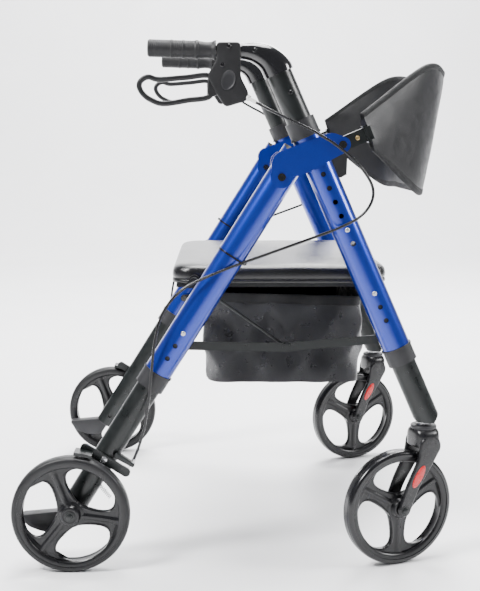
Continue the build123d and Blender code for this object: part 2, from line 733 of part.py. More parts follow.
def rear_extension(side):
    """Sliding tube of the rear leg, bored for the axle and the rocker's screw."""
    frame = rear_leg_frame(side)
    tube = frame * extension_tube(rear_leg_hole - extension_overlap, rear_extension_end, rear_leg_hole)
    middle = side * leg_y
    tube -= cross(axle_r, rear_axle_x, wheel_r, middle - 30, middle + 30)
    rocker = leg_point(rocker_t, 0)
    return tube - cross(3, *rocker, side * (leg_y + 10), side * (leg_y + 30))


def rear_fittings(side):
    """Axle bolt, tipping pedal with the tube's end plug, rocker screw, cable stop and return spring."""
    middle = side * leg_y
    frame = rear_leg_frame(side)
    outer = rear_wheel_y + 18
    axle = cross(axle_r, rear_axle_x, wheel_r, side * (leg_y - slider_r - 3), side * outer)
    axle += cross(8, rear_axle_x, wheel_r, side * (outer - 0.6), side * (outer + 4.1))
    axle += cross(8, rear_axle_x, wheel_r, side * (leg_y - slider_r - 6), side * (leg_y - slider_r))
    pedal_points = [(-94, -14), (-20, -8), (-10, -22), (-20, -44), (-52, -46), (-80, -35), (-94, -22)]
    pedal = outline_of([(rear_axle_x + x, wheel_r + z) for x, z in pedal_points], 3)
    foot = slab(pedal, middle - 11, middle + 11) - frame * bar(slider_r, 500, rear_extension_end)
    foot += frame * bar(slider_r, rear_extension_end, rear_extension_end + 3)
    foot += frame * bar(slider_r - slider_wall, rear_extension_end - 10, rear_extension_end)
    rocker = leg_point(rocker_t, 0)
    face = leg_y + slider_r
    screw = cross(3, *rocker, side * (face - 6), side * (face + rocker_thick + 2))
    screw += cross(5.5, *rocker, side * (face + rocker_thick + 2), side * (face + rocker_thick + 3.6))
    stop_x, stop_z = leg_point(stop_t, stop_forward)
    root = leg_point(stop_t, slider_r - 4)
    plate_outline = discs_hull((*root, 3), (stop_x, stop_z, 3))
    plate = slab(plate_outline, side * (leg_y + 12), side * (leg_y + slider_r + 5))
    plate -= frame * bar(slider_r, 400, 700)
    place = stop_frame(side)
    plate -= place * bar(3.4, -20, 20)
    sleeve = place * (bar(3.4, -4, 10) - bar(cable_r + 0.3, -2, 11))
    return [axle, foot, screw, plate, sleeve]


def stop_frame(side):
    """Frame of the cable's lower sleeve: local z runs up along the cable."""
    x, z = leg_point(stop_t, stop_forward - 1)
    heading = Vector(0.45, 0, 0.89)
    return Plane(origin=(x, side * (leg_y + slider_r), z), z_dir=heading)


def brake_rocker(side):
    """Rocker arm on the leg, with the shoe that reaches over the tread at its rear end."""
    near = leg_y + slider_r + 1.2
    outline = discs_hull((*leg_point(rocker_t, rocker_rear), rocker_half),
                         (*leg_point(rocker_t, rocker_front), rocker_half))
    arm = slab(outline, side * near, side * (near + rocker_thick))
    arm -= cross(3 + running, *leg_point(rocker_t, 0), side * (leg_y + 10), side * (near + 20))
    inner = wheel_r + shoe_gap
    ring = cross(inner + shoe_thick, rear_axle_x, wheel_r, side * near, side * (rear_wheel_y + 9))
    ring -= cross(inner, rear_axle_x, wheel_r, side * (near - 1), side * (rear_wheel_y + 12))
    end = leg_point(rocker_t, rocker_rear)
    middle = math.atan2(end[1] - wheel_r, end[0] - rear_axle_x)
    reach = 2 * wheel_r
    edges = [middle + math.radians(shoe_half_angle) * turn for turn in (-1, 1)]
    rays = [(rear_axle_x + reach * math.cos(a), wheel_r + reach * math.sin(a)) for a in edges]
    sector = Polygon((rear_axle_x, wheel_r), *rays, align=None)
    shoe = ring & slab(sector, side * (near - 5), side * (rear_wheel_y + 12))
    return arm + shoe


# ---------------------------------------------------------------- brake cables
def cable_route(side):
    """Points of one brake cable from its barrel to its stop."""
    lift = handle_move(side).position
    barrel = barrel_place(side)
    start = barrel.origin + barrel.z_dir * (barrel_length - 7.5) + lift
    points = [start + barrel.z_dir * 22]
    for number, (x, out, z) in enumerate(cable_points):
        share = max(0.0, 1 - number / 3)
        points.append(Vector(x, side * out, z) + lift * share)
    sleeve = stop_frame(side)
    end = sleeve.origin - sleeve.z_dir * 1.5
    return [start] + points + [sleeve.origin + sleeve.z_dir * 24, end]


def cable(side):
    """Brake cable along straight runs joined by the largest arcs that its runs allow."""
    route = cable_route(side)
    radii = []
    for before, corner, after in zip(route, route[1:], route[2:]):
        first = corner - before
        second = after - corner
        turn = math.radians(first.get_angle(second))
        radii.append(0.45 * min(first.length, second.length) / math.tan(turn / 2))
    line = FilletPolyline(*route, radius=radii)
    tube = sweep(Plane(origin=route[0], z_dir=route[1] - route[0]) * Circle(cable_r), path=line)
    print(hand(side), "cable: length", round(line.length, 1), "radii", [round(r) for r in radii],
          "volume ratio", round(tube.volume / (math.pi * cable_r ** 2 * line.length), 4))
    return tube


def cable_tie(side):
    """Strap round the rear leg and the cable, across the middle of one of the cable's straight runs."""
    ends = [Vector(x, side * out, z) for x, out, z in cable_points[tied_run:tied_run + 2]]
    frame = rear_leg_frame(side)
    spot = frame.to_local_coords((ends[0] + ends[1]) / 2)
    run = frame.to_local_coords(ends[1]) - frame.to_local_coords(ends[0])
    drift = Vector(run.X / run.Z, run.Y / run.Z, 0) * tie_half

    def outline(grow):
        first = (spot.X - drift.X, spot.Y - drift.Y, cable_r + 0.6 + grow)
        second = (spot.X + drift.X, spot.Y + drift.Y, cable_r + 0.6 + grow)
        return discs_hull((0, 0, leg_r + grow), first, second)

    strap = extrude(outline(1.3) - outline(0), amount=2 * tie_half, dir=(0, 0, 1))
    catch = Pos(8, -leg_r - 2, tie_half) * Box(7, 5, 2 * tie_half + 1.5)
    strap += catch - Pos(0, 0, -5) * bar(leg_r, 0, 20)
    return frame * (Pos(0, 0, spot.Z - tie_half) * strap)


# ---------------------------------------------------------------- write every node
for side in (-1, 1):
    name = hand(side)
    middle = side * leg_y
    save(f"{name}_front_leg", front_leg(side))
    save(f"{name}_rear_leg", rear_leg(side))
    save(f"{name}_handle_post", handle_post(side))
    save(f"{name}_handle_elbow", *elbow(side))
    save(f"{name}_grip", grip(side))
    save(f"{name}_brake_housing", *brake_housing(side))
    save(f"{name}_brake_lever", brake_lever(side))
    save(f"{name}_front_extension", *front_extension(side))
    save(f"{name}_caster_fork", *fork(side))
    hub = fork_gap - soft_gap
    spot = fork_frame(side) * Pos(-caster_trail, 0, wheel_r)
    save(f"{name}_front_wheel", spot * wheel(-hub, hub, front_spoke_angle))
    save(f"{name}_front_tyre", spot * tyre())
    save(f"{name}_rear_extension", rear_extension(side))
    save(f"{name}_rear_fittings", *rear_fittings(side))
    save(f"{name}_brake_rocker", brake_rocker(side))
    hub_ends = sorted((side * (leg_y + slider_r + 3 - rear_wheel_y), side * 17))
    spot = Pos(rear_axle_x, side * rear_wheel_y, wheel_r)
    save(f"{name}_rear_wheel", spot * wheel(*hub_ends, rear_spoke_angle))
    save(f"{name}_rear_tyre", spot * tyre())
    save(f"{name}_handle_button", snap_button(front_leg_frame(side), handle_button_t - (
        left_handle_raise if side > 0 else 0), 1))
    save(f"{name}_front_leg_button", snap_button(front_leg_frame(side), front_leg_hole, 1))
    save(f"{name}_rear_leg_button", snap_button(rear_leg_frame(side), rear_leg_hole, 1))
    save(f"{name}_backrest_button", arm_button(side))
    save(f"{name}_brake_cable", cable(side))

sides = (-1, 1)
save("gusset_plates", *[gusset(side, inward) for side in sides for inward in (False, True)])
save("front_leg_collars", *[front_leg_frame(side) * leg_collar(t, towards) for side in sides
                            for t, towards in ((0, -1), (front_leg_length, 1))])
save("rear_leg_collars", *[rear_leg_frame(side) * leg_collar(rear_leg_length, 1) for side in sides])
save("rear_leg_caps", *[rear_cap(side) for side in sides])
save("backrest_stops", *[backrest_stop(side) for side in sides])
save("frame_bolts", *[bolt(x, z, bolt_r, leg_y - cheek_outer, leg_y + cheek_outer, side)
                      for side in sides for x, z in ((pivot_x, pivot_z), (arm_x, arm_z))],
     *[link_stud(side, link_front_x, link_front_z, front_leg_frame(side), front_link_y) for side in sides])
save("rear_link_studs", *[link_stud(side, link_rear_x, link_rear_z, rear_leg_frame(side), rear_link_y)
                          for side in sides])
save("seat_cross_tube", cross_tube(hinge_x, seat_hinge_z, front_leg_frame))
save("rear_cross_tube", cross_tube(rear_tube_x, rear_tube_z, rear_leg_frame))
save("cable_ties", *[cable_tie(side) for side in sides])
save("bag", bag())
save("seat_pad", seat_pad())
save("seat_pan", seat_pan())
save("front_links", *[front_link(side) for side in sides])
save("rear_links", *[rear_link(side) for side in sides])
save("lift_rods", *[lift_rod(side) for side in sides])
save("backrest_arms", *[backrest_arm(side) for side in sides])
save("backrest_pad", backrest_pad())
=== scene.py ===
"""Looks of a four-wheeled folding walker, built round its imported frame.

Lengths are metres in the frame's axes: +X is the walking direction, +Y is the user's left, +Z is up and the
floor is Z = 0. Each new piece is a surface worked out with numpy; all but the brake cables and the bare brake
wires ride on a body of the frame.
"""

from __future__ import annotations

import json
import logging
import math
from dataclasses import dataclass, field
from enum import Enum

import bmesh
import bpy
import numpy as np
from mathutils import Matrix, Vector

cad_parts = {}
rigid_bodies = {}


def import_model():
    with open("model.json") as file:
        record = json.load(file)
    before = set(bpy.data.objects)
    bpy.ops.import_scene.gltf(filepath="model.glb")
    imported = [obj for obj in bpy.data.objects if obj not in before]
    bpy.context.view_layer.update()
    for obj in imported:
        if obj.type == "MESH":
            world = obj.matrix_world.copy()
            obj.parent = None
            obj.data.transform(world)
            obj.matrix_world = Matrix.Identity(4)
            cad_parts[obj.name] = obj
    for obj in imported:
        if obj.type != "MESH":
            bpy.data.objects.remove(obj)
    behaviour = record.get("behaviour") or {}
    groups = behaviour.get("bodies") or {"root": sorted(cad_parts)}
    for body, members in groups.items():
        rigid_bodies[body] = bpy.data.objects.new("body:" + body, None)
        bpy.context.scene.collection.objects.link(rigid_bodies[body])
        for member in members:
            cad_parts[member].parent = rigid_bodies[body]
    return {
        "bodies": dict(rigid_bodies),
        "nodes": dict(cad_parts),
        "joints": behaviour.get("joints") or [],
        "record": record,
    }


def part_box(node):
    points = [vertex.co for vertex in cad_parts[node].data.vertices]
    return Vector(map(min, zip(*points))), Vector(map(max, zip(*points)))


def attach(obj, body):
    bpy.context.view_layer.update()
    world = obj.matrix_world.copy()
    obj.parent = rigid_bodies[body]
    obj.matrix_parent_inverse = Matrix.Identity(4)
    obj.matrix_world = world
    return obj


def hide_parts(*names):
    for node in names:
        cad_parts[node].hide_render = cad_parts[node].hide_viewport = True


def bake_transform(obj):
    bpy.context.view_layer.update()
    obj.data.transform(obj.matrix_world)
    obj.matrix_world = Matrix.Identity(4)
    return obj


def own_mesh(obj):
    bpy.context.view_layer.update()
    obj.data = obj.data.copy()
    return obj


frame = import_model()

LOG = logging.getLogger("walker")
Array = np.ndarray
Colour = tuple[float, float, float]
MM = 0.001
UPWARDS = np.array([0, 0, 1.0])


class Side(Enum):
    """The user's two sides, with the sign of Y on each."""

    RIGHT = -1
    LEFT = 1

    @property
    def label(self) -> str:
        """Word that starts the names of this side's pieces."""
        return self.name.lower()


# ---------------------------------------------------------------- finishes
class NodeBench:
    """Lays out and joins the nodes of one material."""

    def __init__(self, name: str) -> None:
        """Start a node material.

        Args:
            name: the material's name.
        """
        self.material = bpy.data.materials.new(name)
        self.material.use_nodes = True
        self.tree = self.material.node_tree
        self.shader = self.tree.nodes["Principled BSDF"]
        self.place = self.tree.nodes.new("ShaderNodeTexCoord").outputs["Object"]

    def node(self, kind: str, inputs: dict[str, object], **settings: object) -> bpy.types.Node:
        """Add a node.

        Args:
            kind: Blender's name for the node type.
            inputs: value or socket for each named input.
            settings: the node's own settings.

        Returns:
            The new node.
        """
        made = self.tree.nodes.new(kind)
        for key, value in settings.items():
            setattr(made, key, value)
        for key, value in inputs.items():
            if isinstance(value, bpy.types.NodeSocket):
                self.tree.links.new(value, made.inputs[key])
            else:
                made.inputs[key].default_value = value
        return made

    def noise(self, size: float, detail: float = 3.0) -> bpy.types.NodeSocket:
        """Cloudy pattern from 0 to 1 whose blobs are about this size in metres."""
        inputs = {"Vector": self.place, "Scale": 1 / size, "Detail": detail}
        return self.node("ShaderNodeTexNoise", inputs).outputs["Fac"]

    def cells(self, size: float) -> bpy.types.NodeSocket:
        """Distance to the nearest of many scattered points, about this far apart in metres."""
        inputs = {"Vector": self.place, "Scale": 1 / size}
        return self.node("ShaderNodeTexVoronoi", inputs).outputs["Distance"]

    def remap(self, source: bpy.types.NodeSocket, low: float, high: float, start: float = 0.3,
              end: float = 0.7) -> bpy.types.NodeSocket:
        """Stretch start..end of a pattern to low..high."""
        inputs = {"Value": source, "From Min": start, "From Max": end, "To Min": low, "To Max": high}
        return self.node("ShaderNodeMapRange", inputs).outputs["Result"]

    def calculate(self, operation: str, first: object, second: object) -> bpy.types.NodeSocket:
        """Join two values with one step of arithmetic."""
        made = self.node("ShaderNodeMath", {}, operation=operation)
        for number, value in enumerate((first, second)):
            if isinstance(value, bpy.types.NodeSocket):
                self.tree.links.new(value, made.inputs[number])
            else:
                made.inputs[number].default_value = value
        return made.outputs[0]

    def tint(self, share: bpy.types.NodeSocket, first: Colour, second: Colour) -> bpy.types.NodeSocket:
        """Colour that goes from first to second as share goes from 0 to 1."""
        made = self.node("ShaderNodeMix", {}, data_type="RGBA")
        self.tree.links.new(share, made.inputs["Factor"])
        sockets = [s for s in made.inputs if s.type == "RGBA"]
        sockets[0].default_value = (*first, 1)
        sockets[1].default_value = (*second, 1)
        return [s for s in made.outputs if s.type == "RGBA"][0]

    def set(self, key: str, value: object) -> None:
        """Set or feed one socket of the shader."""
        if isinstance(value, bpy.types.NodeSocket):
            self.tree.links.new(value, self.shader.inputs[key])
        else:
            self.shader.inputs[key].default_value = value

    def relief(self, height: bpy.types.NodeSocket, depth: float) -> None:
        """Raise the surface by height times depth in metres, on top of any relief set before."""
        inputs = {"Height": height, "Distance": depth, "Strength": 1.0}
        before = self.shader.inputs["Normal"].links
        if before:
            inputs["Normal"] = before[0].from_socket
        self.set("Normal", self.node("ShaderNodeBump", inputs).outputs["Normal"])


@dataclass(frozen=True)
class Finish:
    """A surface finish: colour, gloss, grain and how the colour wanders."""

    name: str
    colour: Colour
    roughness: float = 0.5
    metallic: float = 0.0
    coat: float = 0.0
    coat_roughness: float = 0.08
    sheen: float = 0.0
    shine: float = 0.35
    mottle: float = 0.25
    mottle_size: float = 0.04
    grain_size: float = 0.001
    grain_depth: float = 0.0
    rough_spread: float = 0.08

    def make(self) -> bpy.types.Material:
        """Build the material.

        Returns:
            The node material.
        """
        bench = NodeBench(self.name)
        bench.set("Metallic", self.metallic)
        bench.set("Coat Weight", self.coat)
        bench.set("Coat Roughness", self.coat_roughness)
        bench.set("Sheen Weight", self.sheen)
        bench.set("Specular IOR Level", self.shine)
        dark = tuple(c * (1 - self.mottle) for c in self.colour)
        light = tuple(c * (1 + self.mottle) for c in self.colour)
        drift = bench.remap(bench.noise(self.mottle_size), 0.0, 1.0)
        bench.set("Base Color", bench.tint(drift, dark, light))
        smear = bench.noise(self.mottle_size * 0.35, 5.0)
        spread = self.rough_spread
        bench.set("Roughness",
                  bench.remap(smear, max(0.02, self.roughness - spread), self.roughness + spread))
        if self.grain_depth:
            bench.relief(bench.noise(self.grain_size, 2.0), self.grain_depth)
        self.pattern(bench)
        return bench.material

    def pattern(self, bench: NodeBench) -> None:
        """Add what only this kind of finish has; a plain one adds nothing."""


@dataclass(frozen=True)
class MetallicPaint(Finish):
    """Paint with metal flakes under a clear coat."""

    flake_size: float = 0.0007

    def pattern(self, bench: NodeBench) -> None:
        """Let flakes catch the light one by one."""
        flake = bench.remap(bench.cells(self.flake_size), 0.0, 1.0, 0.1, 0.6)
        dark = tuple(c * 0.85 for c in self.colour)
        light = tuple(min(1.0, c * 1.25) for c in self.colour)
        bench.set("Base Color", bench.tint(flake, light, dark))


@dataclass(frozen=True)
class PebbledPlastic(Finish):
    """Moulded plastic with a fine spark-eroded grain."""

    pebble_size: float = 0.0011
    pebble_depth: float = 0.00016

    def pattern(self, bench: NodeBench) -> None:
        """Raise small round pebbles."""
        bench.relief(bench.remap(bench.cells(self.pebble_size), 1.0, 0.0, 0.0, 0.7), self.pebble_depth)


@dataclass(frozen=True)
class GrainedCover(Finish):
    """Leather-like cover with a cell grain and broad soft creases."""

    cell_size: float = 0.0014
    cell_depth: float = 0.00018
    crease_size: float = 0.06
    crease_depth: float = 0.0012

    def pattern(self, bench: NodeBench) -> None:
        """Add the grain on top of the creases."""
        bench.relief(bench.noise(self.crease_size, 2.0), self.crease_depth)
        bench.relief(bench.remap(bench.cells(self.cell_size), 0.0, 1.0, 0.0, 0.8), self.cell_depth)


@dataclass(frozen=True)
class WovenCloth(Finish):
    """Plain-woven nylon with crossing yarns."""

    yarn: float = 0.0011
    yarn_depth: float = 0.00025

    def pattern(self, bench: NodeBench) -> None:
        """Weave: the product of a sine along each axis, summed over two pairs of axes, x with z and y with z.
        """
        parts = bench.node("ShaderNodeSeparateXYZ", {"Vector": bench.place}).outputs
        waves = []
        for axis in parts:
            turns = bench.calculate("MULTIPLY", axis, 2 * math.pi / self.yarn)
            waves.append(bench.calculate("SINE", turns, 0.0))
        weave = bench.calculate("ADD", bench.calculate("MULTIPLY", waves[0], waves[2]),
                                bench.calculate("MULTIPLY", waves[1], waves[2]))
        bench.relief(weave, self.yarn_depth)
        # Painted shade: the colour follows the weave's height, lighter on the yarns' tops and darker in the
        # hollows between them. It is mixed half and half with a random mottle and runs from 0.55 to 1.5 times
        # the colour.
        painted_weave_shade = bench.remap(weave, 0.0, 1.0, -1.2, 1.2)
        cloud = bench.remap(bench.noise(self.mottle_size), 0.0, 1.0)
        weave_shade_and_mottle = bench.calculate("MULTIPLY", bench.calculate("ADD", painted_weave_shade, cloud), 0.5)
        dark = tuple(c * 0.55 for c in self.colour)
        light = tuple(c * 1.5 for c in self.colour)
        bench.set("Base Color", bench.tint(weave_shade_and_mottle, dark, light))


BLUE_PAINT = MetallicPaint("blue_paint", (0.004, 0.026, 0.30), 0.3, 0.65, coat=0.8, rough_spread=0.02,
                           mottle_size=0.2)
BLACK_PAINT = Finish("black_paint", (0.0045, 0.006, 0.006), 0.33, shine=0.4, grain_size=0.0009,
                     grain_depth=0.00003)
GLOSS_BLACK = Finish("gloss_black", (0.004, 0.004, 0.005), 0.15, coat=0.5, shine=0.5, rough_spread=0.03)
HOUSING_PLASTIC = PebbledPlastic("housing_plastic", (0.008, 0.008, 0.009), 0.55, shine=0.3)
MOULDED_PLASTIC = PebbledPlastic("moulded_plastic", (0.014, 0.014, 0.016), 0.48, shine=0.4,
                                 pebble_depth=0.00006)
FORK_PLASTIC = PebbledPlastic("fork_plastic", (0.005, 0.005, 0.006), 0.3, shine=0.45, pebble_depth=0.00003)
LEVER_PLASTIC = PebbledPlastic("lever_plastic", (0.007, 0.007, 0.008), 0.4, shine=0.4, pebble_depth=0.00005)
WHEEL_PLASTIC = Finish("wheel_plastic", (0.004, 0.004, 0.005), 0.3, shine=0.4, rough_spread=0.04)
GRIP_RUBBER = Finish("grip_rubber", (0.009, 0.009, 0.010), 0.55, shine=0.35, grain_size=0.0006,
                     grain_depth=0.00005)
REAR_TYRE = Finish("rear_tyre", (0.008, 0.008, 0.009), 0.45, mottle=0.15, grain_size=0.0008,
                   grain_depth=0.00003)
FRONT_TYRE = Finish("front_tyre", (0.004, 0.004, 0.005), 0.22, shine=0.5, mottle=0.3, rough_spread=0.04)
STEEL = Finish("zinc_steel", (0.60, 0.60, 0.61), 0.28, 1.0, mottle=0.1, mottle_size=0.006)
BRASS = Finish("brass", (0.50, 0.36, 0.16), 0.35, 1.0, mottle=0.1, mottle_size=0.004)
CABLE_JACKET = Finish("cable_jacket", (0.004, 0.004, 0.005), 0.28, coat=0.2)
WHITE_PLASTIC = Finish("white_plastic", (0.75, 0.75, 0.73), 0.4, mottle=0.05)
PAN_BOARD = PebbledPlastic("pan_board", (0.005, 0.005, 0.006), 0.5)
SEAT_VINYL = GrainedCover("seat_vinyl", (0.005, 0.005, 0.006), 0.24, shine=0.5, crease_depth=0.0003,
                          rough_spread=0.03)
BAND_COVER = GrainedCover("band_cover", (0.006, 0.006, 0.007), 0.38, shine=0.38, crease_depth=0.001)
BINDING = WovenCloth("edge_binding", (0.004, 0.004, 0.005), 0.6, yarn=0.0009)
BAG_NYLON = WovenCloth("bag_nylon", (0.005, 0.005, 0.008), 0.32, shine=0.5, sheen=0.02, mottle_size=0.05)
BADGE_RED = Finish("badge_red", (0.50, 0.010, 0.013), 0.25, coat=0.4, mottle=0.1)
FLOOR_PAINT = Finish("floor_paint", (0.86, 0.86, 0.87), 0.55, mottle=0.02, mottle_size=0.5)


@dataclass
class FinishShelf:
    """Keeps one material for each finish."""

    made: dict[str, bpy.types.Material] = field(default_factory=dict)

    def take(self, finish: Finish) -> bpy.types.Material:
        """The finish's material, built the first time it is asked for."""
        if finish.name not in self.made:
            self.made[finish.name] = finish.make()
        return self.made[finish.name]


SHELF = FinishShelf()


# ---------------------------------------------------------------- surfaces
def smooth_curve(points: Array, per_run: int, closed: bool = False) -> Array:
    """Curve through every point: on each run the cubic that leaves and enters along its neighbours' chords.

    Args:
        points: (n, k) points.
        per_run: how many points each run gives.
        closed: whether the last point runs on to the first.

    Returns:
        Points along the curve.
    """
    points = np.asarray(points, float)
    if closed:
        ring = np.concatenate([points[-1:], points, points[:2]])
    else:
        ring = np.concatenate([2 * points[:1] - points[1:2], points, 2 * points[-1:] - points[-2:-1]])
    a, b, c, d = ring[:-3, None], ring[1:-2, None], ring[2:-1, None], ring[3:, None]
    t = np.linspace(0, 1, per_run, endpoint=False)[None, :, None]
    curve = b + 0.5 * t * ((c - a) + t * ((2 * a - 5 * b + 4 * c - d) + t * (3 * (b - c) + d - a)))
    curve = curve.reshape(-1, points.shape[1])
    return curve if closed else np.concatenate([curve, points[-1:]])


def rounded_corners(points: Array, cut: float, steps: int = 6) -> Array:
    """Closed outline whose corners are parabolas that start and end the distance cut from each corner.

    Args:
        points: (n, 2) corners.
        cut: distance along each side that a corner uses.
        steps: points for each corner.

    Returns:
        (n * steps, 2) points.
    """
    points = np.asarray(points, float)
    before = np.roll(points, 1, 0) - points
    after = np.roll(points, -1, 0) - points
    lengths_before = np.linalg.norm(before, axis=1, keepdims=True)
    lengths_after = np.linalg.norm(after, axis=1, keepdims=True)
    start = points + before / lengths_before * np.minimum(cut, lengths_before * 0.48)
    end = points + after / lengths_after * np.minimum(cut, lengths_after * 0.48)
    t = np.linspace(0, 1, steps)[None, :, None]
    arcs = (1 - t) ** 2 * start[:, None] + 2 * t * (1 - t) * points[:, None] + t ** 2 * end[:, None]
    return arcs.reshape(-1, 2)


def oval(count: int, half_wide: Array | float, half_high: Array | float, power: float = 2.0) -> Array:
    """Superellipse ring: each coordinate is a signed power 2 / power of a cosine or sine.

    Args:
        count: points round the ring.
        half_wide: half width, a number or one for each station.
        half_high: half height, the same.
        power: 2 gives an ellipse, more gives a rounded box.

    Returns:
        (stations, count, 2) points, or (count, 2) for plain numbers.
    """
    turn = np.linspace(0, 2 * np.pi, count, endpoint=False)
    wide = np.sign(np.cos(turn)) * np.abs(np.cos(turn)) ** (2 / power)
    high = np.sign(np.sin(turn)) * np.abs(np.sin(turn)) ** (2 / power)
    if np.ndim(half_wide) == 0 and np.ndim(half_high) == 0:
        return np.stack([half_wide * wide, half_high * high], -1)
    stations = np.broadcast_arrays(half_wide, half_high)
    return np.stack([stations[0][:, None] * wide, stations[1][:, None] * high], -1)


def quads(rows: int, columns: int, wrap_rows: bool, wrap_columns: bool) -> Array:
    """Corner numbers of the cells of a grid, with rows or columns joined end to end on request."""
    r = np.arange(rows if wrap_rows else rows - 1)[:, None]
    c = np.arange(columns if wrap_columns else columns - 1)[None, :]
    r2, c2 = (r + 1) % rows, (c + 1) % columns
    corners = [r * columns + c, r * columns + c2, r2 * columns + c2, r2 * columns + c]
    return np.stack([np.broadcast_to(k, (r.shape[0], c.shape[1])) for k in corners], -1).reshape(-1, 4)


def put_mesh(name: str, vertices: Array, faces: list[list[int]], finish: Finish,
             crease: float = 40.0) -> bpy.types.Object:
    """Make an object from vertices and faces, welded, facing outwards and smooth but for its creases.

    Args:
        name: the piece's name.
        vertices: (n, 3) points in the frame's axes.
        faces: corner numbers of each face.
        finish: the piece's finish.
        crease: angle in degrees from which an edge stays sharp.

    Returns:
        The object, at the origin.
    """
    mesh = bpy.data.meshes.new(name)
    mesh.from_pydata(vertices.tolist(), [], faces)
    work = bmesh.new()
    work.from_mesh(mesh)
    bmesh.ops.remove_doubles(work, verts=work.verts, dist=2e-6)
    bmesh.ops.dissolve_degenerate(work, edges=work.edges, dist=1e-7)
    bmesh.ops.recalc_face_normals(work, faces=work.faces)
    work.to_mesh(mesh)
    work.free()
    mesh.polygons.foreach_set("use_smooth", np.ones(len(mesh.polygons), bool))
    mesh.set_sharp_from_angle(angle=math.radians(crease))
    mesh.materials.append(SHELF.take(finish))
    piece = bpy.data.objects.new(name, mesh)
    bpy.context.scene.collection.objects.link(piece)
    return piece


def skin(name: str, rings: Array, finish: Finish, loop: bool = False,
         crease: float = 40.0) -> bpy.types.Object:
    """Closed surface through rings of points; the ends are capped unless the rings form a loop.

    Args:
        name: the piece's name.
        rings: (stations, around, 3) points.
        finish: the piece's finish.
        loop: whether the last ring runs on to the first.
        crease: angle from which an edge stays sharp.

    Returns:
        The object.
    """
    stations, around = rings.shape[:2]
    faces = quads(stations, around, loop, True).tolist()
    if not loop:
        faces.append(list(range(around)))
        faces.append(list(range((stations - 1) * around, stations * around)))
    return put_mesh(name, rings.reshape(-1, 3), faces, finish, crease)


@dataclass(frozen=True)
class Axes:
    """A place with three directions, used to lay out pieces in their own sizes."""

    origin: Array
    along: Array
    out: Array
    up: Array

    def point(self, along: Array | float, out: Array | float, up: Array | float) -> Array:
        """Turn three of the place's own lengths into points of the frame."""
        along, out, up = np.broadcast_arrays(along, out, up)
        return (self.origin + along[..., None] * self.along + out[..., None] * self.out
                + up[..., None] * self.up)


def axes(origin: Array, along: Array, up: Array = (0, 0, 1)) -> Axes:
    """Axes with one exact direction; up is squared to it and out = up x along.

    Args:
        origin: the place.
        along: the exact direction.
        up: roughly the third direction.

    Returns:
        The axes, all of length 1.
    """
    along = np.asarray(along, float) / np.linalg.norm(along)
    out = np.cross(np.asarray(up, float), along)
    out = out / np.linalg.norm(out)
    return Axes(np.asarray(origin, float), along, out, np.cross(along, out))


def turned(name: str, place: Axes, profile: Array, finish: Finish, around: int = 64,
           crease: float = 35.0) -> bpy.types.Object:
    """Surface of revolution: point = along * a + r * (out * cos u + up * sin u) for each (a, r) given.

    Args:
        name: the piece's name.
        place: the axis and where it starts.
        profile: (n, 2) distances along the axis and radii, from one end to the other, or a closed ring.
        finish: the piece's finish.
        around: points round the axis.
        crease: angle from which an edge stays sharp.

    Returns:
        The object.
    """
    profile = np.asarray(profile, float)
    closed = bool(np.allclose(profile[0], profile[-1]))
    if closed:
        profile = profile[:-1]
    turn = np.linspace(0, 2 * np.pi, around, endpoint=False)
    rings = place.point(profile[:, :1] + 0 * turn, profile[:, 1:] * np.cos(turn),
                        profile[:, 1:] * np.sin(turn))
    if closed:
        return skin(name, rings, finish, loop=True, crease=crease)
    faces = quads(len(profile), around, False, True).tolist()
    ends = [(0, range(around)), (-1, range((len(profile) - 1) * around, len(profile) * around))]
    faces += [list(numbers) for index, numbers in ends if profile[index, 1] > 1e-6]
    return put_mesh(name, rings.reshape(-1, 3), faces, finish, crease)


def swept(path: Array, section: Array, side: Array = (0, 1, 0)) -> Array:
    """Rings that carry a section along a path: its y goes along side, its x at a right angle to side.

    Args:
        path: (n, 3) points.
        section: (k, 2), or (n, k, 2) where it changes.
        side: direction that is never along the path.

    Returns:
        (n, k, 3) rings.
    """
    heading = np.gradient(path, axis=0)
    heading /= np.linalg.norm(heading, axis=1, keepdims=True)
    up = np.cross(heading, np.asarray(side, float))
    up /= np.linalg.norm(up, axis=1, keepdims=True)
    across = np.cross(up, heading)
    section = np.broadcast_to(section, (len(path), *np.shape(section)[-2:]))
    return path[:, None] + section[..., :1] * up[:, None] + section[..., 1:] * across[:, None]


def closed_bar(name: str, path: Array, section: Array, side: Array, finish: Finish,
               crease: float) -> bpy.types.Object:
    """Skin a section along a closed path: its y goes along side, its x across side and path.

    Args:
        name: the piece's name.
        path: (n, 3) points, once round.
        section: (m, 2) outline.
        side: direction that the section's y keeps.
        finish: the finish.
        crease: angle in degrees over which an edge stays sharp.

    Returns:
        The bar.
    """
    heading = np.roll(path, -1, 0) - np.roll(path, 1, 0)
    heading /= np.linalg.norm(heading, axis=1, keepdims=True)
    out = np.cross(heading, side)
    rings = path[:, None] + section[None, :, :1] * out[:, None] + section[None, :, 1:] * side
    return skin(name, rings, finish, loop=True, crease=crease)


def raised_oval(name: str, place: Axes, centre: Array, ring: Array, lean: float, share: Array, height: Array,
                facing: int, finish: Finish, crease: float = 40.0) -> bpy.types.Object:
    """Skin a low oval relief: a leaning ring, shrunk by each share and set at each height.

    Args:
        name: the piece's name.
        place: axes of the face: along and up lie in it.
        centre: the oval's middle, along and up.
        ring: (m, 2) outline round its own middle.
        lean: turn of the oval in radians.
        share: size of each ring as a share of the outline.
        height: distance of each ring from the middle plane.
        facing: 1 for the outer face, -1 for the inner one.
        finish: the finish.
        crease: angle in degrees over which an edge stays sharp.

    Returns:
        The relief.
    """
    turn = np.array([[math.cos(lean), math.sin(lean)], [-math.sin(lean), math.cos(lean)]])
    flat = centre + share[:, None, None] * (ring @ turn)[None]
    rings = place.point(flat[..., 0], facing * height[:, None], flat[..., 1])
    return skin(name, rings, finish, crease=crease)


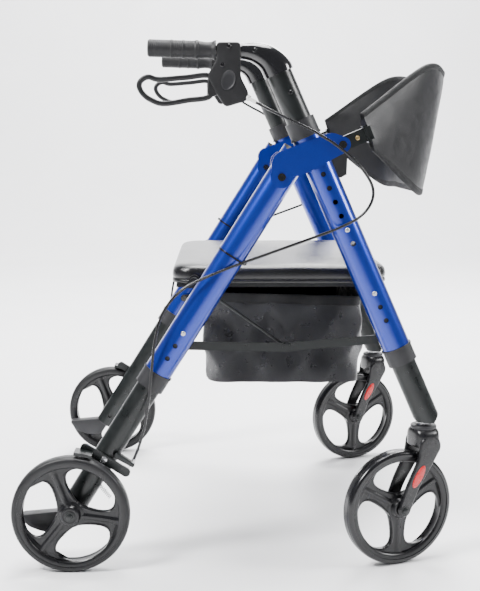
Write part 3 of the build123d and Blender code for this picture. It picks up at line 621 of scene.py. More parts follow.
def rounded_plate(name: str, place: Axes, outline: Array, low: float, high: float, rounding: float,
                  finish: Finish, steps: int = 5) -> bpy.types.Object:
    """Plate with quarter-round edges: the outline shrinks by r(1 - sin a) while it rises by r(1 - cos a).

    Args:
        name: the piece's name.
        place: axes; the outline lies in along and up, the thickness along out.
        outline: (n, 2) points, once round.
        low: where the plate starts along out.
        high: where it ends.
        rounding: radius of its edges.
        finish: the piece's finish.
        steps: rings on each rounded edge.

    Returns:
        The object.
    """
    step = np.roll(outline, -1, 0) - np.roll(outline, 1, 0)
    area = np.sum(outline[:, 0] * np.roll(outline[:, 1], -1) - np.roll(outline[:, 0], -1) * outline[:, 1])
    inward = np.stack([-step[:, 1], step[:, 0]], -1) * np.sign(area)
    inward /= np.maximum(np.linalg.norm(inward, axis=1, keepdims=True), 1e-9)
    a = np.linspace(0, np.pi / 2, steps)
    inset = rounding * (1 - np.sin(a))
    rise = rounding * (1 - np.cos(a))
    inset = np.concatenate([inset, inset[::-1]])
    height = np.concatenate([low + rise, (high - rise)[::-1]])
    flat = outline[None] + inset[:, None, None] * inward[None]
    rings = place.point(flat[..., 0], height[:, None], flat[..., 1])
    return skin(name, rings, finish, crease=50)


def shade_cad(piece: bpy.types.Object, crease: float = 32.0) -> None:
    """Give a CAD node's loose triangles smooth normals.

    Each corner's normal is the area-weighted sum of the faces that meet at its point and turn from its own
    face by less than the crease angle.

    Args:
        piece: the node's object.
        crease: the angle, in degrees.
    """
    mesh = piece.data
    count = len(mesh.loops)
    corner_vertex = np.zeros(count, np.int32)
    mesh.loops.foreach_get("vertex_index", corner_vertex)
    places = np.zeros(len(mesh.vertices) * 3, np.float32)
    mesh.vertices.foreach_get("co", places)
    places = places.reshape(-1, 3)[corner_vertex].astype(float)
    triangles = places.reshape(-1, 3, 3)
    facing = np.cross(triangles[:, 1] - triangles[:, 0], triangles[:, 2] - triangles[:, 0])
    size = np.linalg.norm(facing, axis=1, keepdims=True)
    unit = np.repeat(facing / np.maximum(size, 1e-16), 3, 0)
    weighted = np.repeat(facing, 3, 0)
    _, group = np.unique(np.round(places / (0.01 * MM)).astype(np.int64), axis=0, return_inverse=True)
    order = np.argsort(group.ravel(), kind="stable")
    counts = np.bincount(group.ravel())
    firsts = np.concatenate([[0], np.cumsum(counts)[:-1]])
    repeats = counts[group.ravel()[order]]
    first = np.repeat(order, repeats)
    offset = np.arange(len(first)) - np.repeat(np.cumsum(repeats) - repeats, repeats)
    second = order[np.repeat(firsts[group.ravel()[order]], repeats) + offset]
    near = np.einsum("ij,ij->i", unit[first], unit[second]) > math.cos(math.radians(crease))
    normals = np.zeros((count, 3))
    np.add.at(normals, first[near], weighted[second[near]])
    length = np.linalg.norm(normals, axis=1, keepdims=True)
    normals = np.where(length > 1e-16, normals / np.maximum(length, 1e-16), unit)
    mesh.polygons.foreach_set("use_smooth", np.ones(len(mesh.polygons), bool))
    mesh.normals_split_custom_set(normals.tolist())


def dress(piece: bpy.types.Object, finish: Finish) -> None:
    """Give a CAD node a finish and smooth normals."""
    piece.data.materials.clear()
    piece.data.materials.append(SHELF.take(finish))
    piece.data.polygons.foreach_set("material_index", np.zeros(len(piece.data.polygons), np.int32))
    shade_cad(piece)


def seat_on(piece: bpy.types.Object, body: str, slot: str, *stands_for: str) -> bpy.types.Object:
    """Let a new piece ride on a body and hide the CAD nodes that it stands for."""
    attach(piece, body)
    if stands_for:
        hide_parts(*stands_for)
    LOG.info("%s rides on %s", piece.name, body)
    return piece


# ---------------------------------------------------------------- stage
@dataclass
class Studio:
    """Backdrop, lights and camera."""

    floor_half: float = 12.0
    wall_y: float = 6.5
    wall_bend: float = 2.5
    wall_top: float = 7.0
    eye: tuple[float, float, float] = (-0.031, -2.102, 0.726)
    yaw: float = 1.0
    pitch: float = 8.31
    lens: float = 65.5
    sky: float = 0.3

    def backdrop(self) -> None:
        """Lay a pale floor that curves up into a wall far behind the walker."""
        turn = np.linspace(0, np.pi / 2, 24)
        bend = np.stack([self.wall_y - self.wall_bend * (1 - np.sin(turn)),
                         self.wall_bend * (1 - np.cos(turn))], -1)
        line = np.concatenate([[[-self.floor_half, 0]], bend, [[self.wall_y, self.wall_top]]])
        across = np.array([-self.floor_half, self.floor_half])
        vertices = np.stack(np.broadcast_arrays(across[None], line[:, :1], line[:, 1:]), -1).reshape(-1, 3)
        sheet = put_mesh("backdrop", vertices, quads(len(line), 2, False, False).tolist(), FLOOR_PAINT)

    def light(self, name: str, place: Array, aim: Array, size: float, power: float) -> None:
        """Hang a square soft light.

        Args:
            name: its name.
            place: where it hangs.
            aim: what it points at.
            size: its side.
            power: its watts.
        """
        lamp = bpy.data.lights.new(name, "AREA")
        lamp.shape = "SQUARE"
        lamp.size = size
        lamp.energy = power
        holder = bpy.data.objects.new(name, lamp)
        holder.location = place
        holder.rotation_mode = "QUATERNION"
        holder.rotation_quaternion = (Vector(aim) - Vector(place)).to_track_quat("-Z", "Y")
        bpy.context.scene.collection.objects.link(holder)

    def camera(self) -> None:
        """Stand the camera at eye level beside the walker, looking across it."""
        yaw, pitch = math.radians(self.yaw), math.radians(self.pitch)
        ahead = Vector((math.sin(yaw) * math.cos(pitch), math.cos(yaw) * math.cos(pitch), -math.sin(pitch)))
        right = Vector((math.cos(yaw), -math.sin(yaw), 0))
        up = right.cross(ahead)
        lens = bpy.data.cameras.new("camera")
        lens.lens = self.lens
        holder = bpy.data.objects.new("camera", lens)
        holder.matrix_world = Matrix.Translation(self.eye) @ Matrix((right, up, -ahead)).transposed().to_4x4()
        bpy.context.scene.collection.objects.link(holder)
        bpy.context.scene.camera = holder

    def build(self) -> None:
        """Set up the whole studio."""
        world = bpy.data.worlds.new("studio")
        world.use_nodes = True
        world.node_tree.nodes["Background"].inputs["Color"].default_value = (0.93, 0.95, 1.0, 1)
        world.node_tree.nodes["Background"].inputs["Strength"].default_value = self.sky
        bpy.context.scene.world = world
        self.backdrop()
        middle = (0.0, 0.0, 0.45)
        self.light("key", (-1.9, -1.4, 2.8), middle, 0.8, 200)
        self.light("fill", (2.8, -0.7, 1.9), middle, 1.0, 90)
        self.light("back", (0.9, 2.6, 2.6), middle, 1.6, 120)
        self.light("top", (0.1, 0.1, 3.6), middle, 1.4, 150)
        self.light("wall", (0.0, 2.2, 5.5), (0.0, 6.5, 1.2), 3.0, 1100)
        self.camera()


# ---------------------------------------------------------------- CAD nodes that keep their shape
@dataclass
class FrameMetal:
    """Tubes, plates and small parts whose CAD shape is already right."""

    nodes: dict[str, bpy.types.Object]

    def finish_for(self, name: str) -> Finish:
        """Choose a node's finish from its name.

        Args:
            name: the CAD node's name.

        Returns:
            The finish.
        """
        if name.endswith("_button"):
            return BRASS if "backrest" in name else STEEL
        if name in ("frame_bolts", "rear_link_studs"):
            return GLOSS_BLACK
        blue = ("front_leg", "rear_leg", "gusset_plates", "cross_tube")
        if name.endswith(blue):
            return BLUE_PAINT
        if name.endswith(("collars", "caps", "stops")):
            return MOULDED_PLASTIC
        if name.endswith("elbow"):
            return GLOSS_BLACK
        if name == "cable_ties":
            return CABLE_JACKET
        if name == "seat_pan":
            return PAN_BOARD
        return BLACK_PAINT

    def build(self) -> None:
        """Dress every CAD node."""
        for name, piece in sorted(self.nodes.items()):
            dress(piece, self.finish_for(name))
            LOG.info("dressed %s", name)


# ---------------------------------------------------------------- places read from the frame
@dataclass
class Plan:
    """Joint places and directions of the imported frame."""

    joints: dict[str, dict]

    def at(self, name: str) -> Array:
        """Where a hinge is."""
        return np.array(self.joints[name]["pos_m"], float)

    def along(self, name: str) -> Array:
        """A joint's direction."""
        return np.array(self.joints[name]["axis"], float)


# ---------------------------------------------------------------- wheels
@dataclass
class SpokedWheel:
    """Moulded wheel with three spokes that flare into the rim, and its solid tyre."""

    name: str
    body: str
    place: Axes
    spoke_angle: float
    tyre_finish: Finish
    hub_inner: float
    hub_outer: float
    radius: float = 0.100
    half_width: float = 0.014
    tyre_depth: float = 0.009
    rim_inner: float = 0.0815
    spokes: int = 3

    def spoke_half_angle(self, radius: Array) -> Array:
        """Half the angle that a spoke takes: all of its third at hub and rim, and least near 60 mm."""
        radii = np.array([14, 21, 23, 25, 28, 32, 38, 46, 54, 61, 67, 72, 76, 79, 81, 82.4]) * MM
        share = np.array([60, 60, 54, 45, 36, 29, 22.5, 17.5, 15, 14.5, 15.5, 18.5, 23.5, 29.5, 35, 39])
        return np.radians(np.interp(radius, radii, share))

    def spoke(self, number: int) -> None:
        """Loft one spoke: point = (r, middle angle + s * half angle(r)), with half thickness t(r).

        Across the spoke the thickness is t * sqrt(1 - |s| ** 9), plus a rib down its middle and a lip along
        each side, both bells over the distance r * s * half angle.
        """
        radius = np.concatenate([np.linspace(0.014, 0.03, 12), np.linspace(0.032, 0.07, 20),
                                 np.linspace(0.0712, 0.0824, 22)])[:, None]
        s = np.sin(np.linspace(-np.pi / 2, np.pi / 2, 45))[None]
        half_angle = self.spoke_half_angle(radius)
        base = np.interp(radius, [0.014, 0.03, 0.055, 0.075, 0.0824],
                         [0.0075, 0.0052, 0.0040, 0.0046, 0.0056])
        lateral = radius * s * half_angle
        rib = 0.0022 * np.exp(-(lateral / 0.0042) ** 4)
        lip = 0.0014 * np.exp(-((np.abs(lateral) - radius * half_angle + 0.0028) / 0.0018) ** 2)
        thick = (base + rib + lip) * np.sqrt(1 - np.abs(s) ** 9)
        angle = math.radians(self.spoke_angle + number * 360 / self.spokes) + half_angle * s
        angle = np.concatenate([angle, angle[:, -2:0:-1]], 1)
        thick = np.concatenate([thick, -thick[:, -2:0:-1]], 1)
        rings = self.place.point(thick, radius * np.cos(angle), radius * np.sin(angle))
        piece = skin(f"{self.name}_spoke_{number + 1}", rings, WHEEL_PLASTIC, crease=50)
        seat_on(piece, self.body, "wheel_plastic")

    def rim(self) -> bpy.types.Object:
        """Turn the rim: a channel with a bead at each edge."""
        outer, inner, half = self.radius - self.tyre_depth, self.rim_inner, self.half_width - 0.0015
        profile = [(-half, outer), (-half, inner + 0.004), (-half + 0.0012, inner + 0.0015),
                   (-half + 0.003, inner), (-0.006, inner + 0.0012), (0.006, inner + 0.0012),
                   (half - 0.003, inner), (half - 0.0012, inner + 0.0015), (half, inner + 0.004),
                   (half, outer), (-half, outer)]
        return turned(f"{self.name}_rim", self.place, profile, WHEEL_PLASTIC, around=96)

    def tyre(self) -> bpy.types.Object:
        """Turn the tyre: r = rim + depth * (1 - |s| ** 3.2) ** (1 / 3.2) over its width, with two grooves."""
        s = np.sin(np.linspace(-np.pi / 2, np.pi / 2, 45))
        foot = self.radius - self.tyre_depth
        crown = foot + self.tyre_depth * (1 - np.abs(s) ** 3.2) ** (1 / 3.2)
        groove = np.exp(-((np.abs(s) - 0.42) / 0.035) ** 2)
        crown = crown - 0.0007 * groove
        outside = np.stack([s * self.half_width, crown], -1)
        outside[[0, -1], 1] = foot
        return turned(f"{self.name}_tread", self.place, np.concatenate([outside, outside[:1]]),
                      self.tyre_finish, around=120)

    def hub(self) -> bpy.types.Object:
        """Turn the hub: a stepped boss with a raised cap on the outer side."""
        low, high = self.hub_inner, self.hub_outer
        profile = [(low, 0), (low, 0.0125), (low + 0.0012, 0.0145), (-0.009, 0.016), (-0.0075, 0.0225),
                   (0.0075, 0.0225), (0.009, 0.018), (high - 0.003, 0.0165), (high - 0.0008, 0.0155),
                   (high, 0.014), (high, 0.0115), (high - 0.0008, 0.011), (high - 0.0008, 0)]
        return turned(f"{self.name}_hub", self.place, profile, WHEEL_PLASTIC, around=48)

    def build(self) -> None:
        """Make the wheel and let it roll with its body."""
        for number in range(self.spokes):
            self.spoke(number)
        seat_on(self.rim(), self.body, "wheel_plastic", f"{self.name}_wheel")
        seat_on(self.hub(), self.body, "wheel_plastic")
        seat_on(self.tyre(), self.body, "tyre", f"{self.name}_tyre")


def strap_outline(path: Array, half_widths: Array, end_steps: int = 12) -> Array:
    """Closed outline round a path: the path moved sideways by its half width, with round ends.

    Args:
        path: (n, 2) middle line.
        half_widths: half width at each of its points.
        end_steps: points on each round end.

    Returns:
        (m, 2) points.
    """
    heading = np.gradient(path, axis=0)
    heading /= np.linalg.norm(heading, axis=1, keepdims=True)
    normal = np.stack([-heading[:, 1], heading[:, 0]], -1)
    turn = np.linspace(0, np.pi, end_steps)[1:-1, None]
    start = path[0] + half_widths[0] * (-normal[0] * np.cos(turn) - heading[0] * np.sin(turn))
    end = path[-1] + half_widths[-1] * (normal[-1] * np.cos(turn) + heading[-1] * np.sin(turn))
    left = path + normal * half_widths[:, None]
    right = path - normal * half_widths[:, None]
    return np.concatenate([left, end, right[::-1], start])


@dataclass
class CasterFork:
    """Front fork: two curved arms from a round crown, a bearing cap and the axle's ends."""

    side: Side
    place: Axes
    trail: float = 0.048
    wheel_radius: float = 0.100
    gap: float = 0.019
    outer: float = 0.027
    crown_low: float = 0.2045
    crown_high: float = 0.2345
    cap_top: float = 0.241
    badge_half: tuple[float, float] = (0.021, 0.0072)
    badge_height: float = 0.157

    def arm_line(self) -> tuple[Array, Array]:
        """Middle line of an arm, forwards and up, with its half width."""
        line = np.array([(0.0, 0.2065, 0.0205), (-0.011, 0.178, 0.0150), (-0.033, 0.138, 0.0122),
                         (-self.trail, self.wheel_radius, 0.0115)])
        curve = smooth_curve(line, 12)
        return curve[:, :2], curve[:, 2]

    def arms(self) -> list[bpy.types.Object]:
        """Cut both arms."""
        path, widths = self.arm_line()
        outline = strap_outline(path, widths)
        made = []
        for number, low, high in ((1, self.gap, self.outer), (2, -self.outer, -self.gap)):
            made.append(rounded_plate(f"{self.side.label}_fork_arm_{number}", self.place, outline, low, high,
                                      0.0036, FORK_PLASTIC, steps=7))
        return made

    def crown(self) -> bpy.types.Object:
        """Loft the crown from a rounded box between the arms to the bearing's circle."""
        height = np.array([0.0, 0.02, 0.06, 0.15, 0.4, 0.62, 0.78, 0.9, 0.97, 1.0])
        level = self.crown_low + (self.crown_high - self.crown_low) * height
        fore = np.interp(height, [0, 0.02, 0.06, 0.62, 0.9, 1],
                         [0.0200, 0.0226, 0.0234, 0.0234, 0.0224, 0.0204])
        wide = np.interp(height, [0, 0.02, 0.06, 0.62, 0.78, 0.9, 1],
                         [0.0245, 0.0265, 0.0272, 0.0272, 0.0262, 0.0238, 0.0204])
        section = oval(64, fore, wide, 3.0)
        rings = self.place.point(section[..., 0], section[..., 1], level[:, None])
        return skin(f"{self.side.label}_fork_crown", rings, FORK_PLASTIC)

    @property
    def upright(self) -> Axes:
        """Axes with the stem's upright line first."""
        return Axes(self.place.origin, self.place.up, self.place.along, self.place.out)

    def cap(self) -> bpy.types.Object:
        """Turn the bearing cap."""
        low, high = self.crown_high, self.cap_top
        profile = [(low, 0), (low, 0.0216), (low + 0.001, 0.0222), (high - 0.0022, 0.0222),
                   (high - 0.0006, 0.0212), (high, 0.0195), (high, 0)]
        return turned(f"{self.side.label}_fork_cap", self.upright, profile, MOULDED_PLASTIC, around=48)

    def stem_nut(self) -> bpy.types.Object:
        """Turn the six-sided nut and its washer on the stem over the cap."""
        low = self.cap_top + 0.0005
        profile = [(low, 0), (low, 0.0118), (low + 0.0011, 0.0118), (low + 0.0012, 0.0098),
                   (low + 0.0052, 0.0098), (low + 0.0052, 0)]
        return turned(f"{self.side.label}_stem_nut", self.upright, profile, STEEL, around=12)

    def badges(self) -> list[bpy.types.Object]:
        """Set a plain oval badge on the outer face of each arm: a shallow dome over an ellipse."""
        path, _ = self.arm_line()
        centre = np.array([np.interp(-self.badge_height, -path[:, 1], path[:, 0]), self.badge_height])
        lean = math.atan2(path[20, 1] - path[14, 1], path[20, 0] - path[14, 0])
        share = np.array([1.0, 1.0, 0.97, 0.9, 0.6, 0.3, 0.02])
        height = np.array([-0.001, 0.0004, 0.0008, 0.0011, 0.0015, 0.0017, 0.0018])
        ring = oval(40, *self.badge_half)
        return [raised_oval(f"{self.side.label}_fork_badge_{number}", self.place, centre, ring, lean, share,
                            self.outer + height, facing, BADGE_RED) for number, facing in ((1, 1), (2, -1))]

    def axle_ends(self) -> list[bpy.types.Object]:
        """Turn the bolt head and the nut at the axle's ends."""
        made = []
        for number, facing in ((1, 1), (2, -1)):
            spot = self.place.point(-self.trail, 0, self.wheel_radius)
            place = Axes(spot, self.place.out * facing, self.place.along, self.place.up)
            start = self.outer
            profile = [(start - 0.002, 0.0), (start - 0.002, 0.0085), (start + 0.0008, 0.0085),
                       (start + 0.001, 0.0062), (start + 0.0028, 0.0058), (start + 0.0038, 0.0042),
                       (start + 0.004, 0.0)]
            made.append(turned(f"{self.side.label}_fork_bolt_{number}", place, profile, BLACK_PAINT,
                               around=32))
        return made

    def build(self) -> None:
        """Make the fork and let it swivel with its body."""
        body = f"{self.side.label}_caster"
        seat_on(self.crown(), body, "dark_plastic", f"{self.side.label}_caster_fork")
        for piece in [*self.arms(), self.cap(), *self.badges()]:
            seat_on(piece, body, "dark_plastic")
        for piece in self.axle_ends():
            seat_on(piece, body, "steel")
        seat_on(self.stem_nut(), f"{self.side.label}_front_slider", "steel")


# ---------------------------------------------------------------- handles
@dataclass
class BrakeHandle:
    """Grip, lever housing, loop lever and cable adjuster, placed from the handle bar's front end."""

    side: Side
    bar_front: Array
    rise: float = 1.8
    bar_length: float = 0.150
    grip_start: float = 0.041
    grip_radius: float = 0.0143
    cheek_inner: float = 0.0071
    cheek_outer: float = 0.015
    lever_half: float = 0.0062
    plaque_centre: tuple[float, float] = (-0.0207, -0.0468)
    plaque_half: tuple[float, float] = (0.0115, 0.0165)
    plaque_lean: float = -18
    shell_corners: tuple = ((-0.040, 0.0135), (-0.0008, 0.0135), (-0.0008, -0.042), (0.012, -0.066),
                            (0.011, -0.079), (-0.026, -0.090), (-0.042, -0.066), (-0.055, -0.039),
                            (-0.040, -0.015))
    core_corners: tuple = ((-0.039, 0.0125), (-0.0012, 0.0125), (-0.0012, -0.042), (0.0115, -0.066),
                           (0.0105, -0.0785), (-0.0165, -0.086), (-0.0165, -0.0155), (-0.039, -0.0145))
    lever_line: tuple = ((-0.050, -0.0405), (-0.092, -0.0425), (-0.134, -0.0455), (-0.151, -0.0415),
                         (-0.163, -0.047), (-0.1665, -0.0565), (-0.1605, -0.0685), (-0.148, -0.078),
                         (-0.127, -0.0845), (-0.088, -0.079), (-0.050, -0.0715))
    root_corners: tuple = ((-0.0535, -0.0375), (-0.0535, -0.0745), (-0.047, -0.0735), (-0.030, -0.0665),
                           (-0.0235, -0.058), (-0.0225, -0.024), (-0.027, -0.0155), (-0.036, -0.0165))
    # two on the housing, one on the elbow and one on the post: along, up and distance from the middle plane
    screws_at: tuple = ((-0.0199, 0.0068, 0.015), (-0.0305, -0.0228, 0.015), (0.0217, 0.0003, 0.0158),
                        (0.0796, -0.0669, 0.0212))
    barrel_start: tuple[float, float, float] = (0.006, 0.008, -0.072)
    barrel_heading: tuple[float, float, float] = (0.78, 0.42, -0.47)

    @property
    def place(self) -> Axes:
        """Axes at the bar's front end: along +X, outwards from the walker, and up."""
        return Axes(self.bar_front, np.array([1.0, 0, 0]), np.array([0, self.side.value, 0.0]),
                    np.array([0, 0, 1.0]))

    @property
    def barrel_line(self) -> Array:
        """Direction of the cable adjuster on this side."""
        x, out, z = self.barrel_heading
        return np.array([x, self.side.value * out, z])

    def grip(self) -> bpy.types.Object:
        """Rubber grip: radius = body + rings + fine ribs, smooth steps and bells along its length."""
        lean = math.radians(self.rise)
        along = np.array([-math.cos(lean), 0, math.sin(lean)])
        place = axes(self.bar_front, along)
        length = np.linspace(self.grip_start, self.bar_length + 0.002, 260)
        radius = np.full(len(length), self.grip_radius)
        radius += 0.0019 * np.exp(-((length - self.grip_start) / 0.005) ** 4)
        radius -= 0.0016 * np.exp(-((length - 0.056) / 0.010) ** 2)
        for ring_at, height, spread in ((0.072, 0.0012, 0.0028), (0.094, 0.0008, 0.0018),
                                        (0.113, 0.0008, 0.0018)):
            radius += height * np.exp(-((length - ring_at) / spread) ** 4)
        ribbed = 1 / (1 + np.exp(-(length - 0.078) / 0.001)) - 1 / (1 + np.exp(-(length - 0.147) / 0.001))
        radius -= 0.00035 * ribbed * (0.5 + 0.5 * np.cos(2 * np.pi * length / 0.0031))
        end = self.bar_length + 0.002 - length
        radius -= 0.0022 * np.exp(-(end / 0.0016) ** 2)
        profile = np.stack([length, radius], -1)
        profile = np.concatenate([[[length[0], 0.0]], profile,
                                  [[length[-1] + 0.0004, 0.009], [length[-1], 0.0]]])
        return turned(f"{self.side.label}_rubber_grip", place, profile, GRIP_RUBBER, around=56, crease=55)

    def flat_plate(self, name: str, corners: tuple, low: float, high: float, cut: float, rounding: float,
                   finish: Finish) -> bpy.types.Object:
        """Plate in the handle's upright plane with rounded corners and edges."""
        outline = rounded_corners(np.array(corners), cut)
        return rounded_plate(f"{self.side.label}_{name}", self.place, outline, low, high, rounding, finish)

    def plaque(self, facing: int) -> bpy.types.Object:
        """Plain oval plaque: a raised rim round a shallow dish."""
        share = np.array([1.0, 1.0, 0.97, 0.93, 0.88, 0.84, 0.5, 0.02])
        height = np.array([-0.001, 0.0006, 0.0010, 0.0010, 0.0006, 0.0002, 0.00015, 0.0001])
        word = "outer" if facing > 0 else "inner"
        return raised_oval(f"{self.side.label}_plaque_{word}", self.place, np.array(self.plaque_centre),
                           oval(44, *self.plaque_half), math.radians(self.plaque_lean), share,
                           self.cheek_outer + height, facing, MOULDED_PLASTIC, 60)

    def screw(self, number: int, along: float, up: float, start: float) -> bpy.types.Object:
        """Domed screw with a hollow in its head, on a face this far from the middle plane."""
        spot = self.place.point(along, 0, up)
        place = Axes(spot, self.place.out, self.place.along, self.place.up)
        profile = [(start - 0.002, 0.0), (start - 0.002, 0.0036), (start + 0.0006, 0.0036),
                   (start + 0.0012, 0.0030), (start + 0.0013, 0.0019), (start + 0.0004, 0.0017),
                   (start + 0.0004, 0.0)]
        return turned(f"{self.side.label}_housing_screw_{number}", place, profile, GLOSS_BLACK, around=28)

    def adjuster(self) -> bpy.types.Object:
        """White cable adjuster: a collar and a nut with flutes, r = nut * (1 + 0.06 cos 12u)."""
        x, out, z = self.barrel_start
        place = axes(self.place.point(x, out, z), self.barrel_line)
        station = np.array([-6, -6, 1, 1.4, 2.4, 8.6, 9.6, 10, 10.2, 23.4, 24, 24]) * MM
        radius = np.array([0, 4.2, 4.2, 4.6, 5.0, 5.0, 4.6, 4.2, 3.1, 3.1, 2.8, 0]) * MM
        turn = np.linspace(0, 2 * np.pi, 72, endpoint=False)
        fluted = ((station > 0.0012) & (station < 0.0098))[:, None]
        ripple = radius[:, None] * (1 + 0.05 * fluted * np.cos(12 * turn))
        rings = place.point(station[:, None] + 0 * turn, ripple * np.cos(turn), ripple * np.sin(turn))
        return skin(f"{self.side.label}_cable_adjuster", rings, WHITE_PLASTIC)

    def lever(self) -> list[bpy.types.Object]:
        """Loop lever: a rounded bar round a closed line, and the plate that carries its pin."""
        line = smooth_curve(np.array(self.lever_line), 8, closed=True)
        path = self.place.point(line[:, 0], 0, line[:, 1])
        section = oval(20, 0.0045, self.lever_half, 2.8)
        loop = closed_bar(f"{self.side.label}_lever_loop", path, section, self.place.out, LEVER_PLASTIC, 60)
        root = self.flat_plate("lever_root", self.root_corners, -self.lever_half, self.lever_half, 0.004,
                               0.0015, LEVER_PLASTIC)
        return [loop, root]

    def build(self) -> None:
        """Make the handle's pieces and let them ride on the handle and the lever."""
        label = self.side.label
        handle = f"{label}_handle"
        seat_on(self.grip(), handle, "grip_rubber", f"{label}_grip")
        outer = self.flat_plate("housing_outer_cheek", self.shell_corners, self.cheek_inner,
                                self.cheek_outer, 0.007, 0.0028, HOUSING_PLASTIC)
        inner = self.flat_plate("housing_inner_cheek", self.shell_corners, -self.cheek_outer,
                                -self.cheek_inner, 0.007, 0.0028, HOUSING_PLASTIC)
        core = self.flat_plate("housing_core", self.core_corners, -self.cheek_inner, self.cheek_inner,
                               0.005, 0.0005, HOUSING_PLASTIC)
        seat_on(outer, handle, "dark_plastic", f"{label}_brake_housing")
        screws = [self.screw(number + 1, *spot) for number, spot in enumerate(self.screws_at)]
        for piece in (inner, core, self.plaque(1), self.plaque(-1), *screws):
            seat_on(piece, handle, "dark_plastic")
        seat_on(self.adjuster(), handle, "dark_plastic")
        loop, root = self.lever()
        seat_on(loop, f"{label}_lever", "dark_plastic", f"{label}_brake_lever")
        seat_on(root, f"{label}_lever", "dark_plastic")


# ---------------------------------------------------------------- seat, backrest and bag
def rounded_box(half_x: float, half_y: float, corner: float, steps: int = 14, run: int = 44) -> Array:
    """Rectangle with quarter-circle corners, once round from +X +Y.

    Args:
        half_x: half size along x.
        half_y: half size along y.
        corner: corner radius.
        steps: points on each corner.
        run: points on each straight side.

    Returns:
        (4 * (steps + run), 2) points.
    """
    a = np.linspace(0, np.pi / 2, steps)
    arc = np.stack([half_x - corner + corner * np.cos(a), half_y - corner + corner * np.sin(a)], -1)
    quarter_turns = []
    for sign_x, sign_y, flip in ((1, 1, False), (-1, 1, True), (-1, -1, False), (1, -1, True)):
        piece = arc * (sign_x, sign_y)
        quarter_turns.append(piece[::-1] if flip else piece)
    joined = []
    for number, piece in enumerate(quarter_turns):
        following = quarter_turns[(number + 1) % 4][0]
        share = np.linspace(0, 1, run + 2)[1:-1, None]
        joined += [piece, piece[-1] * (1 - share) + following * share]
    return np.concatenate(joined)


@dataclass
class PaddedSeat:
    """Vinyl-covered seat: a crowned pad with soft shoulders over a moulded lip, and piping between them."""

    low: Array
    high: Array
    corner: float = 0.036
    crown: float = 0.004
    cord: float = 0.0011
    groove_height: float = 0.0082
    # inward distance and height above the underside, from the underside's edge up to the top's shoulder
    section: tuple = ((0.010, 0.0006), (0.003, 0.0006), (0.0006, 0.0014), (0.0, 0.0030), (0.0, 0.0062),
                      (0.0008, 0.0074), (0.0022, 0.0079), (0.0020, 0.0086), (0.0006, 0.0102),
                      (0.0001, 0.0150), (0.0006, 0.0215), (0.0030, 0.0272), (0.0080, 0.0312),
                      (0.0160, 0.0334), (0.0280, 0.0345))

    def pad(self) -> bpy.types.Object:
        """Skin the pad: the outline moves in along the section, then shrinks to the middle under a low crown.

        Broad ripples lean on the shoulders: height += a * sin(k1 x) * sin(k2 y), fading towards the edge.

        Returns:
            The pad.
        """
        middle = (self.low + self.high) / 2
        half = (self.high - self.low) / 2
        section = np.array(self.section)
        rings = []
        for inset, rise in section:
            ring = rounded_box(half[0] - inset, half[1] - inset, max(0.004, self.corner - inset * 0.6))
            rings.append(np.concatenate([ring, np.full((len(ring), 1), self.low[2] + rise)], 1))
        last = rings[-1][:, :2]
        share = np.linspace(1, 0.02, 14)[1:, None, None]
        top = share * last[None]
        bulge = self.low[2] + section[-1, 1] + self.crown * (1 - share[..., 0] ** 2.2)
        top = np.concatenate([top, np.broadcast_to(bulge[..., None], (*top.shape[:2], 1))], -1)
        skin_rings = np.concatenate([np.array(rings), top])
        fade = np.clip((skin_rings[..., 2] - self.low[2] - 0.016) / 0.012, 0, 1)
        ripple = np.sin(31 * skin_rings[..., 0] + 0.7) * np.sin(23 * skin_rings[..., 1] + 0.4)
        ripple += 0.5 * np.sin(67 * skin_rings[..., 0] + 29 * skin_rings[..., 1])
        skin_rings[..., 2] += 0.0003 * fade * ripple
        skin_rings[..., :2] += middle[:2]
        return skin("seat_cushion", skin_rings, SEAT_VINYL, crease=70)

    def piping(self) -> bpy.types.Object:
        """Run a thin cord of vinyl round the pad, in the groove over the lip."""
        middle = (self.low + self.high) / 2
        half = (self.high - self.low) / 2
        ring = rounded_box(half[0] - 2 * self.cord, half[1] - 2 * self.cord, self.corner)
        path = np.concatenate([ring + middle[:2],
                               np.full((len(ring), 1), self.low[2] + self.groove_height)], 1)
        return closed_bar("seat_piping", path, oval(10, self.cord, self.cord), UPWARDS, BINDING, 80)

    def build(self) -> None:
        """Make the seat's soft pieces."""
        pad = self.pad()
        subdivision = pad.modifiers.new("smooth", "SUBSURF")
        subdivision.levels = 1
        subdivision.render_levels = 1
        seat_on(pad, "seat", "vinyl", "seat_pad")
        seat_on(self.piping(), "seat", "vinyl")


